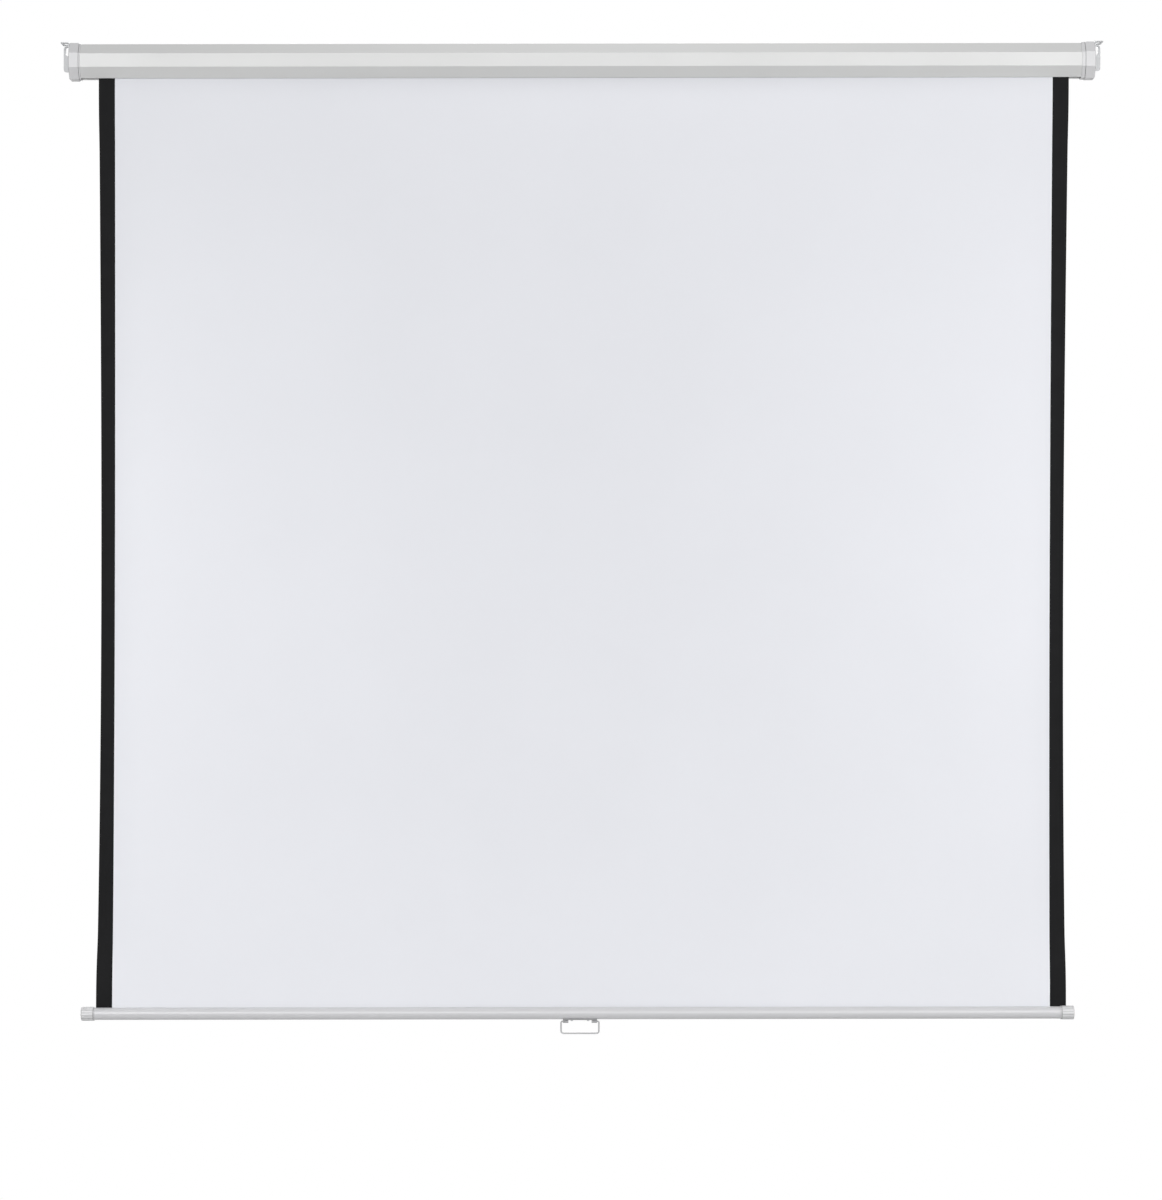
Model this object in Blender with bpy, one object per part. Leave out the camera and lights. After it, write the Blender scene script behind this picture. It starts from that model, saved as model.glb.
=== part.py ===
"""Pull down projector screen, drawn out to its working height.

Metres, +Z up. +X runs to the viewer's right, the front faces -Y and the wall is behind, at +Y.
The origin is the centre of the case's flat back face.
"""
import math

import bmesh
import bpy
from mathutils import Vector

# Clearances
SEAT = 0.0003                 # between two pieces that sit on or in one another
END_PLAY = 0.0005             # along the axis, between a turning piece and a fixed one
OVERLAP = 0.0004              # how far two forms of one piece run into each other before they are joined

# Screen fabric
FABRIC_WIDTH = 1.800
FABRIC_THICKNESS = 0.00045
BORDER_WIDTH = 0.030          # printed black strip along each side
CURL_ZONE = 0.095             # width of the side strip that curls back
CURL_ANGLE = math.radians(31.0)
CURL_SHARPNESS = 0.5          # below 1 the curl keeps its full size over more of the height
CURL_SAG = 1.23               # above 1 the curl is fullest below the middle of the height
FLAT_TURN = 0.001             # a turn below this counts as none
FABRIC_ROWS = 14
CURL_STEPS = 3                # steps across the curl, up to the border
WRAP_TURNS = 2.0              # turns left on the roller when the screen is down
TOP_SHIFT = 0.0034            # the cloth hangs a little out of square: to the right at the roller
LOW_SHIFT = -0.0044           # and to the left at the bar

# Roller
ROLLER_RADIUS = 0.0125
ROLLER_WALL = 0.0008

# Case, an extruded eight-sided channel
CASE_WALL = 0.0012
FRONT_FACE = 0.025            # height of the upright front face, and of the flat back
FACET_HEIGHT = 0.019
FACET_DEPTH = 0.016
ROLLER_BACK_ROOM = 0.0090     # from the inside of the back to the wound fabric
SLOT_FRONT_ROOM = 0.0013      # from the hanging fabric to the front lip
SLOT_BACK_ROOM = 0.0115       # from the hanging fabric to the rear lip
LIP_HEIGHT = 0.0040
LIP_MARGIN = 0.0010           # from the front lip to the case's front lower corner
PORT_BORE = 0.0020            # screw channels inside the case
PORT_WALL = 0.0014
PORT_RISE = 0.0028            # from the inner face to the middle of the channel
PORT_MOUTH = math.radians(50.0)
PORT_SETBACK = 0.0220         # from the back of the case to both channels

# End caps
CAP_SIDE_ROOM = 0.0508        # from the fabric's edge to the cap's outer face
CAP_BODY = 0.0180
LEFT_COLLAR = 0.0030           # the left cap is pushed further on, so less of its collar shows
RIGHT_COLLAR = 0.0072
CAP_END_WALL = 0.0030
CAP_PROUD = 0.0024            # how far the cap's body stands out from the case
COLLAR_PROUD = 0.0015
CAP_GROOVE = 0.0008            # width and depth of the groove between a cap's body and collar
CAP_EDGE = 0.0012             # softened edges of the cap
BOSS_RADIUS = 0.0090
BOSS_LENGTH = 0.0115
RIB_THICKNESS = 0.0016
RIB_LENGTH = 0.0070
SCREW_RADIUS = 0.0017
SCREW_LENGTH = 0.0140         # under the head
SCREW_HEAD_RADIUS = 0.0036
SCREW_HEAD_HEIGHT = 0.0022
HEAD_DOME = math.radians(57.0)  # how far the head's dome turns before its flat top
SCREW_TIP = 0.4               # share of the shank's radius left at its tip

# Mounting brackets, bent sheet steel
SHEET = 0.0015
TAB_REACH = 0.0147            # how far both tabs stand out from the plate
CEILING_TAB_DEPTH = 0.0480
WALL_TAB_HEIGHT = 0.0500
BRACKET_RISE = 0.0016         # from the top of the cap to the ceiling face
WALL_GAP = 0.0005             # from the back of the cap to the wall
TAB_CORNER = 0.0050
BEND_RELIEF = 0.0020
HOLE_RADIUS = 0.0033
WALL_SLOT_LENGTH = 0.0160
CEILING_SLOT_LENGTH = 0.0200
HOLE_OFFSET = 0.0070          # from the plate's outer face to the middle of the holes
WALL_HOLE_DROP = 0.0120       # from the ceiling face to the middle of the wall slot
BRACKET_SCREW_DEPTH = 0.0075  # from the back of the case to the bracket's own screw
BRACKET_SCREW_DROP = 0.0020   # below the case's middle
BRACKET_SCREW_LENGTH = 0.0100
SCREW_POST_RADIUS = 0.0040

# Spring roller: ratchet, pawls and spring at the left end
SPINDLE_RADIUS = 0.0030
TANG_THICKNESS = 0.0025
TANG_WIDTH = 0.0058
HUB_LENGTH = 0.0060
HUB_WALL = 0.0013             # metal left under each notch
NOTCH_DEPTH = 0.0016
NOTCH_RAMP = math.radians(55.0)
NOTCH_LEAN = math.radians(6.6)  # lean of the wall that the pawl stops against
NOTCH_HOLLOW = 1.5            # above 1 the ramp is hollow
PAWL_GAP = 0.0005             # from the pawl's nose to the hub's round land
NOSE_RADIUS = 0.0008
PAWL_SPREAD = math.radians(38.0)
PAWL_THICKNESS = 0.0045
PAWL_PIN_RADIUS = 0.0010
PAWL_EYE_WALL = 0.0011
PAWL_REACH_OUT = 0.0032       # from the hub's land to the pawl's pivot
FLANGE_MARGIN = 0.0007        # from the pawl's eye to the edge of the flange
FLANGE_THICKNESS = 0.0030
PLUG_LENGTH = 0.0200
SPRING_RADIUS = 0.0080        # to the middle of the wire
SPRING_WIRE = 0.0007          # radius of the wire
SPRING_TURNS = 24
SPRING_LENGTH = 0.1250
COLLAR_SEAT_LENGTH = 0.0100   # length of spring gripped at each end
SPINDLE_NECK = 0.0025         # radius of the spindle inside the spring

# Idler end of the roller
IDLER_RADIUS = 0.0030
BUSH_WALL = 0.0017
BUSH_RIM = 0.0012

# Bottom bar
BAR_DROP = 1.767              # from the middle of the case to the middle of the bar
BAR_SIDE_ROOM = 0.0209        # from the fabric's edge to the bar's end
BAR_OFFSET = -0.0108          # the bar has slid a little to the left along the fabric
HANDLE_OFFSET = -0.0063       # from the middle of the case to the middle of the handle
BAR_RADIUS = 0.0115
BAR_WALL = 0.0012
BAR_SLOT = 0.0030
SPLINE_RADIUS = 0.0040
SPLINE_SIDE_ROOM = 0.0080     # from the fabric's edge to the end of the spline
SPLINE_GRIP = 0.0050          # depth of fabric held in the spline
BAR_CAP_LENGTH = 0.0250
BAR_CAP_GROOVE = 0.0007       # depth and half the width of the groove near the cap's mouth
BAR_CAP_WALL = 0.0012
BAR_CAP_END = 0.0030
BAR_CAP_ROUND = 0.0020
FLUTES = 14
FLUTE_DEPTH = 0.0004
CAP_SLIT_LENGTH = 0.0160

# Pull handle
HANDLE_WIDTH = 0.0702         # between the middles of the two upright wires
HANDLE_DROP = 0.0222          # from the pivot to the middle of the lower wire
WIRE_RADIUS = 0.0015
WIRE_BEND = 0.0045            # lower corners
TOP_BEND = 0.0030             # where the ends turn in
PIN_LENGTH = 0.0120           # turned-in ends that the handle swings on
SADDLE_SHEET = 0.0012
SADDLE_HALF_ANGLE = math.radians(38.0)
KNUCKLE_WALL = 0.0011
KNUCKLE_LENGTH = 0.0100
HANDLE_SCREW_SPACING = 0.0300
HANDLE_SCREW_RADIUS = 0.0013
HANDLE_SCREW_HEAD = 0.0026
HANDLE_SCREW_HEAD_HEIGHT = 0.0014
HANDLE_SCREW_LENGTH = 0.0060

# Facets
ROUND = 32                    # sides of a large round form
MEDIUM_ROUND = 20
SMALL_ROUND = 16
PIN_ROUND = 12
CORNER_STEPS = 5              # along a rounded corner
HALF_STEPS = 6                # along a half circle
PROFILE_STEPS = 10            # along a longer arc of a section
SMOOTH_ANGLE = math.radians(35.0)

# Case section
CASE_HEIGHT = FRONT_FACE + 2 * FACET_HEIGHT
FACET_SLOPE = math.hypot(FACET_DEPTH, FACET_HEIGHT)
WRAP_PITCH = FABRIC_THICKNESS + SEAT
WRAP_INNER = ROLLER_RADIUS + SEAT
WRAP_OUTER = WRAP_INNER + WRAP_TURNS * WRAP_PITCH + FABRIC_THICKNESS
ROLLER_Y = -(CASE_WALL + ROLLER_BACK_ROOM + WRAP_OUTER)
FABRIC_Y = ROLLER_Y - WRAP_OUTER - SEAT - FABRIC_THICKNESS / 2
SLOT_FRONT = FABRIC_Y - FABRIC_THICKNESS / 2 - SLOT_FRONT_ROOM
SLOT_BACK = FABRIC_Y + FABRIC_THICKNESS / 2 + SLOT_BACK_ROOM
CASE_DEPTH = -(SLOT_FRONT - CASE_WALL - LIP_MARGIN) + FACET_DEPTH
PORT_Y = -PORT_SETBACK
PORT_Z = CASE_HEIGHT / 2 - CASE_WALL - PORT_RISE
PORT_OUTER = PORT_BORE + PORT_WALL

# Places along the case
CAP_FACE = FABRIC_WIDTH / 2 + CAP_SIDE_ROOM
CAP_INSIDE = CAP_FACE - CAP_END_WALL
CASE_HALF = CAP_INSIDE - SEAT
BOSS_FACE = CAP_INSIDE - BOSS_LENGTH
HUB_OUTER = BOSS_FACE - SEAT
HUB_INNER = HUB_OUTER - HUB_LENGTH
FLANGE_FACE = HUB_INNER - END_PLAY
TUBE_HALF = FLANGE_FACE - FLANGE_THICKNESS - SEAT
HUB_BORE = SPINDLE_RADIUS + SEAT
HUB_LAND = HUB_BORE + HUB_WALL + NOTCH_DEPTH
PIVOT_RADIUS = HUB_LAND + PAWL_REACH_OUT
PAWL_BORE = PAWL_PIN_RADIUS + SEAT
PAWL_EYE = PAWL_BORE + PAWL_EYE_WALL
FLANGE_RADIUS = PIVOT_RADIUS + PAWL_EYE + FLANGE_MARGIN
PLUG_RADIUS = ROLLER_RADIUS - ROLLER_WALL - SEAT
SPRING_SEAT = SPRING_RADIUS - SPRING_WIRE - SEAT
COLLAR_START = TUBE_HALF - PLUG_LENGTH - END_PLAY
SPRING_START = COLLAR_START - SPRING_WIRE - SEAT
ANCHOR_FACE = COLLAR_START - SPRING_LENGTH

# Bottom bar and handle
BAR_HALF = FABRIC_WIDTH / 2 + BAR_SIDE_ROOM
BAR_TUBE_HALF = BAR_HALF - BAR_CAP_END - SEAT
BAR_INNER = BAR_RADIUS - BAR_WALL
SLOT_EDGE_Z = math.sqrt(BAR_INNER ** 2 - (BAR_SLOT / 2) ** 2)
SPLINE_Z = SLOT_EDGE_Z - math.sqrt((SPLINE_RADIUS + SEAT) ** 2 - (BAR_SLOT / 2) ** 2)
FABRIC_BOTTOM = -BAR_DROP + SPLINE_Z + SPLINE_RADIUS - SPLINE_GRIP
SADDLE_INNER = BAR_RADIUS + SEAT
SADDLE_OUTER = SADDLE_INNER + SADDLE_SHEET
KNUCKLE_BORE = WIRE_RADIUS + SEAT
KNUCKLE_OUTER = KNUCKLE_BORE + KNUCKLE_WALL
HANDLE_Z = -BAR_DROP - SADDLE_OUTER - KNUCKLE_OUTER + SADDLE_SHEET / 2
PIN_END = HANDLE_WIDTH / 2 - PIN_LENGTH
KNUCKLE_END = HANDLE_WIDTH / 2 - TOP_BEND - END_PLAY


def clear_scene():
    """Remove every object that the file opened with."""
    for item in list(bpy.data.objects):
        bpy.data.objects.remove(item, do_unlink=True)


def material(name, colour, roughness, metallic=0.0):
    """One Principled material for one piece."""
    made = bpy.data.materials.new(name)
    made.use_nodes = True
    shader = made.node_tree.nodes["Principled BSDF"]
    shader.inputs["Base Color"].default_value = (*colour, 1.0)
    shader.inputs["Roughness"].default_value = roughness
    shader.inputs["Metallic"].default_value = metallic
    return made


def painted(name):
    """White stove enamel on aluminium or steel."""
    return material(name, (0.80, 0.81, 0.80), 0.42)


def moulded(name):
    """White moulded plastic."""
    return material(name, (0.78, 0.78, 0.79), 0.50)


def plated(name):
    """Zinc-plated steel."""
    return material(name, (0.62, 0.63, 0.65), 0.35, 0.9)


def nylon(name):
    """Natural nylon of the hidden bearings and plugs."""
    return material(name, (0.70, 0.69, 0.64), 0.55)


def polar(radius, angle):
    """A (y, z) point; the angle starts at +Y and turns towards +Z."""
    return (radius * math.cos(angle), radius * math.sin(angle))


def arc(centre, radius, start, end, steps):
    """Points of an arc in any plane, both ends included."""
    points = []
    for step in range(steps + 1):
        angle = start + (end - start) * step / steps
        points.append((centre[0] + radius * math.cos(angle), centre[1] + radius * math.sin(angle)))
    return points


def circle(centre, radius, sides):
    """Points of a full circle."""
    return arc(centre, radius, 0.0, 2 * math.pi * (sides - 1) / sides, sides - 1)


def solid(name, rings, finish, ring_loop=False):
    """Skin rings of 3-D points into one closed solid; a ring loop makes a bored piece."""
    shape = bmesh.new()
    made = [[shape.verts.new(point) for point in ring] for ring in rings]
    pairs = list(zip(made, made[1:]))
    if ring_loop:
        pairs.append((made[-1], made[0]))
    for near, far in pairs:
        for index in range(len(near)):
            following = (index + 1) % len(near)
            shape.faces.new((near[index], near[following], far[following], far[index]))
    if not ring_loop:
        shape.faces.new(made[0])
        shape.faces.new(made[-1])
    bmesh.ops.recalc_face_normals(shape, faces=shape.faces)
    return finished(name, shape, finish)


def finished(name, shape, finish):
    """Turn a bmesh into a named object with its own material."""
    mesh = bpy.data.meshes.new(name)
    shape.to_mesh(mesh)
    shape.free()
    mesh.shade_smooth()
    mesh.set_sharp_from_angle(angle=SMOOTH_ANGLE)
    mesh.materials.append(finish)
    made = bpy.data.objects.new(name, mesh)
    bpy.context.collection.objects.link(made)
    return made


def sheet(name, front, back, finish):
    """A thin sheet as one closed solid, from two grids of points that face each other."""
    shape = bmesh.new()
    faces = []
    grids = []
    for grid in (front, back):
        grids.append([[shape.verts.new(point) for point in row] for row in grid])
    for made in grids:
        for row, following in zip(made, made[1:]):
            for index in range(len(row) - 1):
                faces.append((row[index], row[index + 1], following[index + 1], following[index]))
    near, far = grids
    for row in (0, -1):
        for index in range(len(near[0]) - 1):
            faces.append((near[row][index], near[row][index + 1], far[row][index + 1], far[row][index]))
    for column in (0, -1):
        for row in range(len(near) - 1):
            edge = (near[row][column], near[row + 1][column], far[row + 1][column], far[row][column])
            faces.append(edge)
    for corners in faces:
        shape.faces.new(corners)
    bmesh.ops.recalc_face_normals(shape, faces=shape.faces)
    return finished(name, shape, finish)


def prism(name, outline, near, far, finish, axis="X"):
    """Extrude a flat outline along one axis, from near to far."""
    places = {
        "X": lambda a, b, along: (along, a, b),
        "Y": lambda a, b, along: (a, along, b),
        "Z": lambda a, b, along: (a, b, along),
    }
    place = places[axis]
    rings = [[place(a, b, along) for a, b in outline] for along in (near, far)]
    return solid(name, rings, finish)


def turned(name, profile, finish, sides=ROUND, bored=False):
    """Turn a profile of (x, radius) pairs about the X axis; a bored one is a closed profile."""
    rings = []
    for x, radius in profile:
        rings.append([(x, y, z) for y, z in circle((0.0, 0.0), radius, sides)])
    return solid(name, rings, finish, ring_loop=bored)


def combine(target, tool, operation):
    """Join or cut a piece with a helper form, then remove the helper."""
    change = target.modifiers.new("shape", "BOOLEAN")
    change.operation = operation
    change.solver = "EXACT"
    change.object = tool
    graph = bpy.context.evaluated_depsgraph_get()
    shaped = bpy.data.meshes.new_from_object(target.evaluated_get(graph))
    target.modifiers.clear()
    target.data = shaped
    bpy.data.objects.remove(tool, do_unlink=True)
    target.data.set_sharp_from_angle(angle=SMOOTH_ANGLE)


def place(pieces, parent):
    """Hang pieces on the empty that marks their joint."""
    for piece in pieces:
        piece.parent = parent


def axis_marker(name, location, parent=None):
    """An empty on a joint's axis."""
    marker = bpy.data.objects.new(name, None)
    marker.empty_display_size = 0.05
    bpy.context.collection.objects.link(marker)
    marker.location = location
    marker.parent = parent
    return marker


def case_corners(grow):
    """The case's eight corners (y, z), each face moved outwards by grow."""
    half = CASE_HEIGHT / 2
    along_flat = grow * (FACET_SLOPE - FACET_DEPTH) / FACET_HEIGHT
    along_face = grow * (FACET_SLOPE - FACET_HEIGHT) / FACET_DEPTH
    flat_y = CASE_DEPTH - FACET_DEPTH + along_flat
    face_z = FRONT_FACE / 2 + along_face
    return [
        (-flat_y, -half - grow),
        (-CASE_DEPTH - grow, -face_z),
        (-CASE_DEPTH - grow, face_z),
        (-flat_y, half + grow),
        (-FACET_DEPTH + along_flat, half + grow),
        (grow, face_z),
        (grow, -face_z),
        (-FACET_DEPTH + along_flat, -half - grow),
    ]


def screw_port(centre, turn):
    """Outline of a C-shaped screw channel standing on the face below it, turned by an angle."""
    foot = math.asin(PORT_RISE / PORT_OUTER)
    half_mouth = PORT_MOUTH / 2
    top = math.pi / 2
    left = turn + top + half_mouth
    right = turn + top - half_mouth
    near_side = arc(centre, PORT_OUTER, turn + math.pi + foot, left, CORNER_STEPS)
    bore = arc(centre, PORT_BORE, left, right + 2 * math.pi, PIN_ROUND)
    far_side = arc(centre, PORT_OUTER, right, turn - foot, CORNER_STEPS)
    return near_side + bore + far_side


def housing_case():
    """Extruded channel with turned-in lips at its slot and two screw channels."""
    outer = case_corners(0.0)
    inner = case_corners(-CASE_WALL)
    floor = -CASE_HEIGHT / 2
    lip_top = floor + LIP_HEIGHT
    outline = [(SLOT_FRONT, floor)] + outer + [(SLOT_BACK, floor)]
    outline += [(SLOT_BACK, lip_top), (SLOT_BACK + CASE_WALL, lip_top)]
    outline += [(SLOT_BACK + CASE_WALL, floor + CASE_WALL)]
    outline += screw_port((PORT_Y, -PORT_Z), 0.0)
    outline += [inner[7], inner[6], inner[5], inner[4]]
    outline += screw_port((PORT_Y, PORT_Z), math.pi)
    outline += [inner[3], inner[2], inner[1], inner[0]]
    outline += [(SLOT_FRONT - CASE_WALL, floor + CASE_WALL), (SLOT_FRONT - CASE_WALL, lip_top)]
    outline += [(SLOT_FRONT, lip_top)]
    return prism("housing_case", outline, -CASE_HALF, CASE_HALF, painted("case_enamel"))


def end_cap(name, side, collar_length):
    """Moulded cap: a grooved sleeve over the case, an end wall, the roller's boss and ribs."""
    body_start = CAP_FACE - CAP_BODY
    collar_end = body_start - CAP_GROOVE
    collar_start = body_start - collar_length
    stations = [
        (CAP_FACE, CAP_PROUD - CAP_EDGE),
        (CAP_FACE - CAP_EDGE, CAP_PROUD),
        (body_start, CAP_PROUD),
        (body_start, COLLAR_PROUD - CAP_GROOVE),
        (collar_end, COLLAR_PROUD - CAP_GROOVE),
        (collar_end, COLLAR_PROUD),
        (collar_start + CAP_EDGE / 2, COLLAR_PROUD),
        (collar_start, COLLAR_PROUD - CAP_EDGE / 2),
        (collar_start, SEAT),
        (CAP_INSIDE, SEAT),
    ]
    rings = [[(side * x, y, z) for y, z in case_corners(grow)] for x, grow in stations]
    finish = moulded(name + "_plastic")
    cap = solid(name, rings, finish)
    root = side * (CAP_INSIDE + OVERLAP)
    boss = prism("boss", circle((ROLLER_Y, 0.0), BOSS_RADIUS, ROUND), root, side * BOSS_FACE, finish)
    combine(cap, boss, "UNION")
    for rib in cap_ribs(side, root, finish):
        combine(cap, rib, "UNION")
    post_centre = (-BRACKET_SCREW_DEPTH, -BRACKET_SCREW_DROP)
    post_end = side * (CAP_INSIDE - BRACKET_SCREW_LENGTH)
    post = prism("post", circle(post_centre, SCREW_POST_RADIUS, SMALL_ROUND), root, post_end, finish)
    combine(cap, post, "UNION")
    hole_radius = SCREW_RADIUS + SEAT
    beyond = side * (CAP_FACE + OVERLAP)
    for centre, depth in (
        ((PORT_Y, PORT_Z), CAP_INSIDE - OVERLAP),
        ((PORT_Y, -PORT_Z), CAP_INSIDE - OVERLAP),
        (post_centre, CAP_INSIDE - BRACKET_SCREW_LENGTH - OVERLAP),
    ):
        hole = prism("hole", circle(centre, hole_radius, SMALL_ROUND), beyond, side * depth, finish)
        combine(cap, hole, "DIFFERENCE")
    return cap


def cap_ribs(side, root, finish):
    """Stiffening ribs that run up, down and forwards from the boss, clear of the case."""
    ribs = []
    inside = case_corners(-CASE_WALL - SEAT)
    top = inside[4][1]
    reach = BOSS_RADIUS - RIB_THICKNESS
    end = side * (CAP_INSIDE - RIB_LENGTH)
    shift = RIB_THICKNESS / 2
    port_foot = PORT_Z - PORT_OUTER - SEAT
    for way in (1, -1):
        upright = [
            (ROLLER_Y - shift, way * reach),
            (ROLLER_Y + shift, way * reach),
            (ROLLER_Y + shift, way * min(top, port_foot)),
            (ROLLER_Y - shift, way * min(top, port_foot)),
        ]
        ribs.append(prism("rib", upright, root, end, finish))
    front = inside[1][0]
    level = [
        (front, -shift),
        (ROLLER_Y - reach, -shift),
        (ROLLER_Y - reach, shift),
        (front, shift),
    ]
    ribs.append(prism("rib", level, root, end, finish))
    return ribs


def left_cap():
    """The left cap holds the spindle's flat tang, so the spindle can't turn."""
    cap = end_cap("end_cap_left", -1, LEFT_COLLAR)
    half_slot = TANG_THICKNESS / 2 + SEAT
    half_width = TANG_WIDTH / 2 + SEAT
    socket_outline = [
        (ROLLER_Y - half_slot, -half_width),
        (ROLLER_Y + half_slot, -half_width),
        (ROLLER_Y + half_slot, half_width),
        (ROLLER_Y - half_slot, half_width),
    ]
    socket = prism("socket", socket_outline, -CAP_INSIDE, -BOSS_FACE + OVERLAP, cap.data.materials[0])
    combine(cap, socket, "DIFFERENCE")
    return cap


def right_cap():
    """The right cap holds the bush that the roller's pin turns in."""
    cap = end_cap("end_cap_right", 1, RIGHT_COLLAR)
    bore_radius = IDLER_RADIUS + SEAT + BUSH_WALL + SEAT
    outline = circle((ROLLER_Y, 0.0), bore_radius, ROUND)
    bore = prism("bore", outline, CAP_INSIDE, BOSS_FACE - OVERLAP, cap.data.materials[0])
    combine(cap, bore, "DIFFERENCE")
    return cap


def rounded_tab(root, reach, low, high, corner):
    """Outline of a tab: square at its root, with rounded corners at its tip."""
    tip_low = arc((root + reach - corner, low + corner), corner, -math.pi / 2, 0.0, CORNER_STEPS)
    tip_high = arc((root + reach - corner, high - corner), corner, 0.0, math.pi / 2, CORNER_STEPS)
    return [(root, low)] + tip_low + tip_high + [(root, high)]


def slot_outline(centre, radius, length):
    """Outline of a round-ended slot that runs along the outline's second direction."""
    half = length / 2 - radius
    upper = arc((centre[0], centre[1] + half), radius, 0.0, math.pi, HALF_STEPS)
    lower = arc((centre[0], centre[1] - half), radius, math.pi, 2 * math.pi, HALF_STEPS)
    return upper + lower


def mirrored(outline, side):
    """The outline on the right or the left side."""
    return [(side * a, b) for a, b in outline]


def mount_bracket(name, side):
    """Bent plate on the cap's outer face, with a slotted ceiling tab and a slotted wall tab."""
    inner = CAP_FACE + SEAT
    outer = inner + SHEET
    wall = CAP_PROUD + WALL_GAP
    top = CASE_HEIGHT / 2 + CAP_PROUD + BRACKET_RISE
    bottom = top - WALL_TAB_HEIGHT
    front = wall - CEILING_TAB_DEPTH
    finish = painted(name + "_enamel")
    low_front = -BRACKET_SCREW_DEPTH - SCREW_HEAD_RADIUS - SHEET
    plate_outline = [
        (wall, top),
        (front, top),
        (front, PORT_Z - SCREW_HEAD_RADIUS - SHEET),
        (low_front, bottom),
        (wall, bottom),
    ]
    bracket = prism(name, plate_outline, side * inner, side * outer, finish)
    ceiling_outline = rounded_tab(inner, SHEET + TAB_REACH, front, wall - BEND_RELIEF, TAB_CORNER)
    ceiling = prism("ceiling", mirrored(ceiling_outline, side), top, top - SHEET, finish, "Z")
    combine(bracket, ceiling, "UNION")
    wall_outline = rounded_tab(inner, SHEET + TAB_REACH, bottom, top - BEND_RELIEF, TAB_CORNER)
    wall_tab = prism("wall", mirrored(wall_outline, side), wall, wall - SHEET, finish, "Y")
    combine(bracket, wall_tab, "UNION")
    hole_x = outer + HOLE_OFFSET
    ceiling_slot = slot_outline((hole_x, (front + wall) / 2), HOLE_RADIUS, CEILING_SLOT_LENGTH)
    cutter = prism("cut", mirrored(ceiling_slot, side), top + OVERLAP, top - SHEET - OVERLAP, finish, "Z")
    combine(bracket, cutter, "DIFFERENCE")
    wall_slot = slot_outline((hole_x, top - WALL_HOLE_DROP), HOLE_RADIUS, WALL_SLOT_LENGTH)
    cutter = prism("cut", mirrored(wall_slot, side), wall + OVERLAP, wall - SHEET - OVERLAP, finish, "Y")
    combine(bracket, cutter, "DIFFERENCE")
    for centre in ((PORT_Y, PORT_Z), (-BRACKET_SCREW_DEPTH, -BRACKET_SCREW_DROP)):
        outline = circle(centre, SCREW_RADIUS + SEAT, SMALL_ROUND)
        cutter = prism("cut", outline, side * (inner - OVERLAP), side * (outer + OVERLAP), finish)
        combine(bracket, cutter, "DIFFERENCE")
    return bracket


def screw(name, radius, length, head_radius, head_height):
    """Pan-head screw along X: its head's flat underside is at the origin, its shank runs to -X."""
    dome = []
    for share in (1.0, 2 / 3, 1 / 3):
        turn = HEAD_DOME * share
        dome.append((head_height * math.sin(turn) / math.sin(HEAD_DOME), head_radius * math.cos(turn)))
    shank = [(0.0, head_radius), (0.0, radius), (-length + radius, radius), (-length, radius * SCREW_TIP)]
    return turned(name, dome + shank, plated(name + "_steel"), SMALL_ROUND)


def cap_screws(side_name, side):
    """Two screws into the case's channels and one that holds the bracket to the cap."""
    under_bracket = CAP_FACE + SEAT + SHEET + SEAT
    under_cap = CAP_FACE + SEAT
    places = (
        ("cap_screw_upper_", under_bracket, (PORT_Y, PORT_Z), SCREW_LENGTH),
        ("cap_screw_lower_", under_cap, (PORT_Y, -PORT_Z), SCREW_LENGTH),
        (
            "bracket_screw_",
            under_bracket,
            (-BRACKET_SCREW_DEPTH, -BRACKET_SCREW_DROP),
            BRACKET_SCREW_LENGTH,
        ),
    )
    for stem, x, centre, length in places:
        made = screw(stem + side_name, SCREW_RADIUS, length, SCREW_HEAD_RADIUS, SCREW_HEAD_HEIGHT)
        made.location = (side * x, centre[0], centre[1])
        made.rotation_euler = (0.0, 0.0, 0.0 if side > 0 else math.pi)


def spindle():
    """Fixed spindle: a flat tang in the left cap, a shaft through the ratchet, a neck in the spring."""
    shaft_start = -BOSS_FACE + SEAT
    neck_start = -COLLAR_START + COLLAR_SEAT_LENGTH + SEAT
    neck_end = -ANCHOR_FACE + PLUG_LENGTH / 2
    profile = [
        (shaft_start, SPINDLE_RADIUS),
        (neck_start, SPINDLE_RADIUS),
        (neck_start + SPINDLE_RADIUS, SPINDLE_NECK),
        (neck_end, SPINDLE_NECK),
    ]
    made = turned("spindle", profile, plated("spindle_steel"), MEDIUM_ROUND)
    half = TANG_THICKNESS / 2
    width = TANG_WIDTH / 2
    outline = [(-half, -width), (half, -width), (half, width), (-half, width)]
    tang = prism("tang", outline, -CAP_INSIDE + SEAT, shaft_start + OVERLAP, made.data.materials[0])
    combine(made, tang, "UNION")
    made.location = (0.0, ROLLER_Y, 0.0)
    return made


def ratchet_hub():
    """Notched hub fixed on the spindle: a pawl drops in a notch to hold the screen."""
    floor = HUB_LAND - NOTCH_DEPTH
    outline = []
    for notch in (0.0, math.pi):
        outline.append(polar(HUB_LAND, notch))
        for step in range(CORNER_STEPS + 1):
            share = step / CORNER_STEPS
            rise = NOTCH_DEPTH * share ** NOTCH_HOLLOW
            turn = NOTCH_LEAN + (NOTCH_RAMP - NOTCH_LEAN) * share
            outline.append(polar(floor + rise, notch + turn))
        land = arc((0.0, 0.0), HUB_LAND, notch + NOTCH_RAMP, notch + math.pi, PROFILE_STEPS)
        outline += land[1:-1]
    made = prism("ratchet_hub", outline, -HUB_OUTER, -HUB_INNER, plated("hub_steel"))
    near = -HUB_OUTER - OVERLAP
    far = -HUB_INNER + OVERLAP
    bore = prism("bore", circle((0.0, 0.0), HUB_BORE, MEDIUM_ROUND), near, far, made.data.materials[0])
    combine(made, bore, "DIFFERENCE")
    made.location = (0.0, ROLLER_Y, 0.0)
    return made


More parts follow.
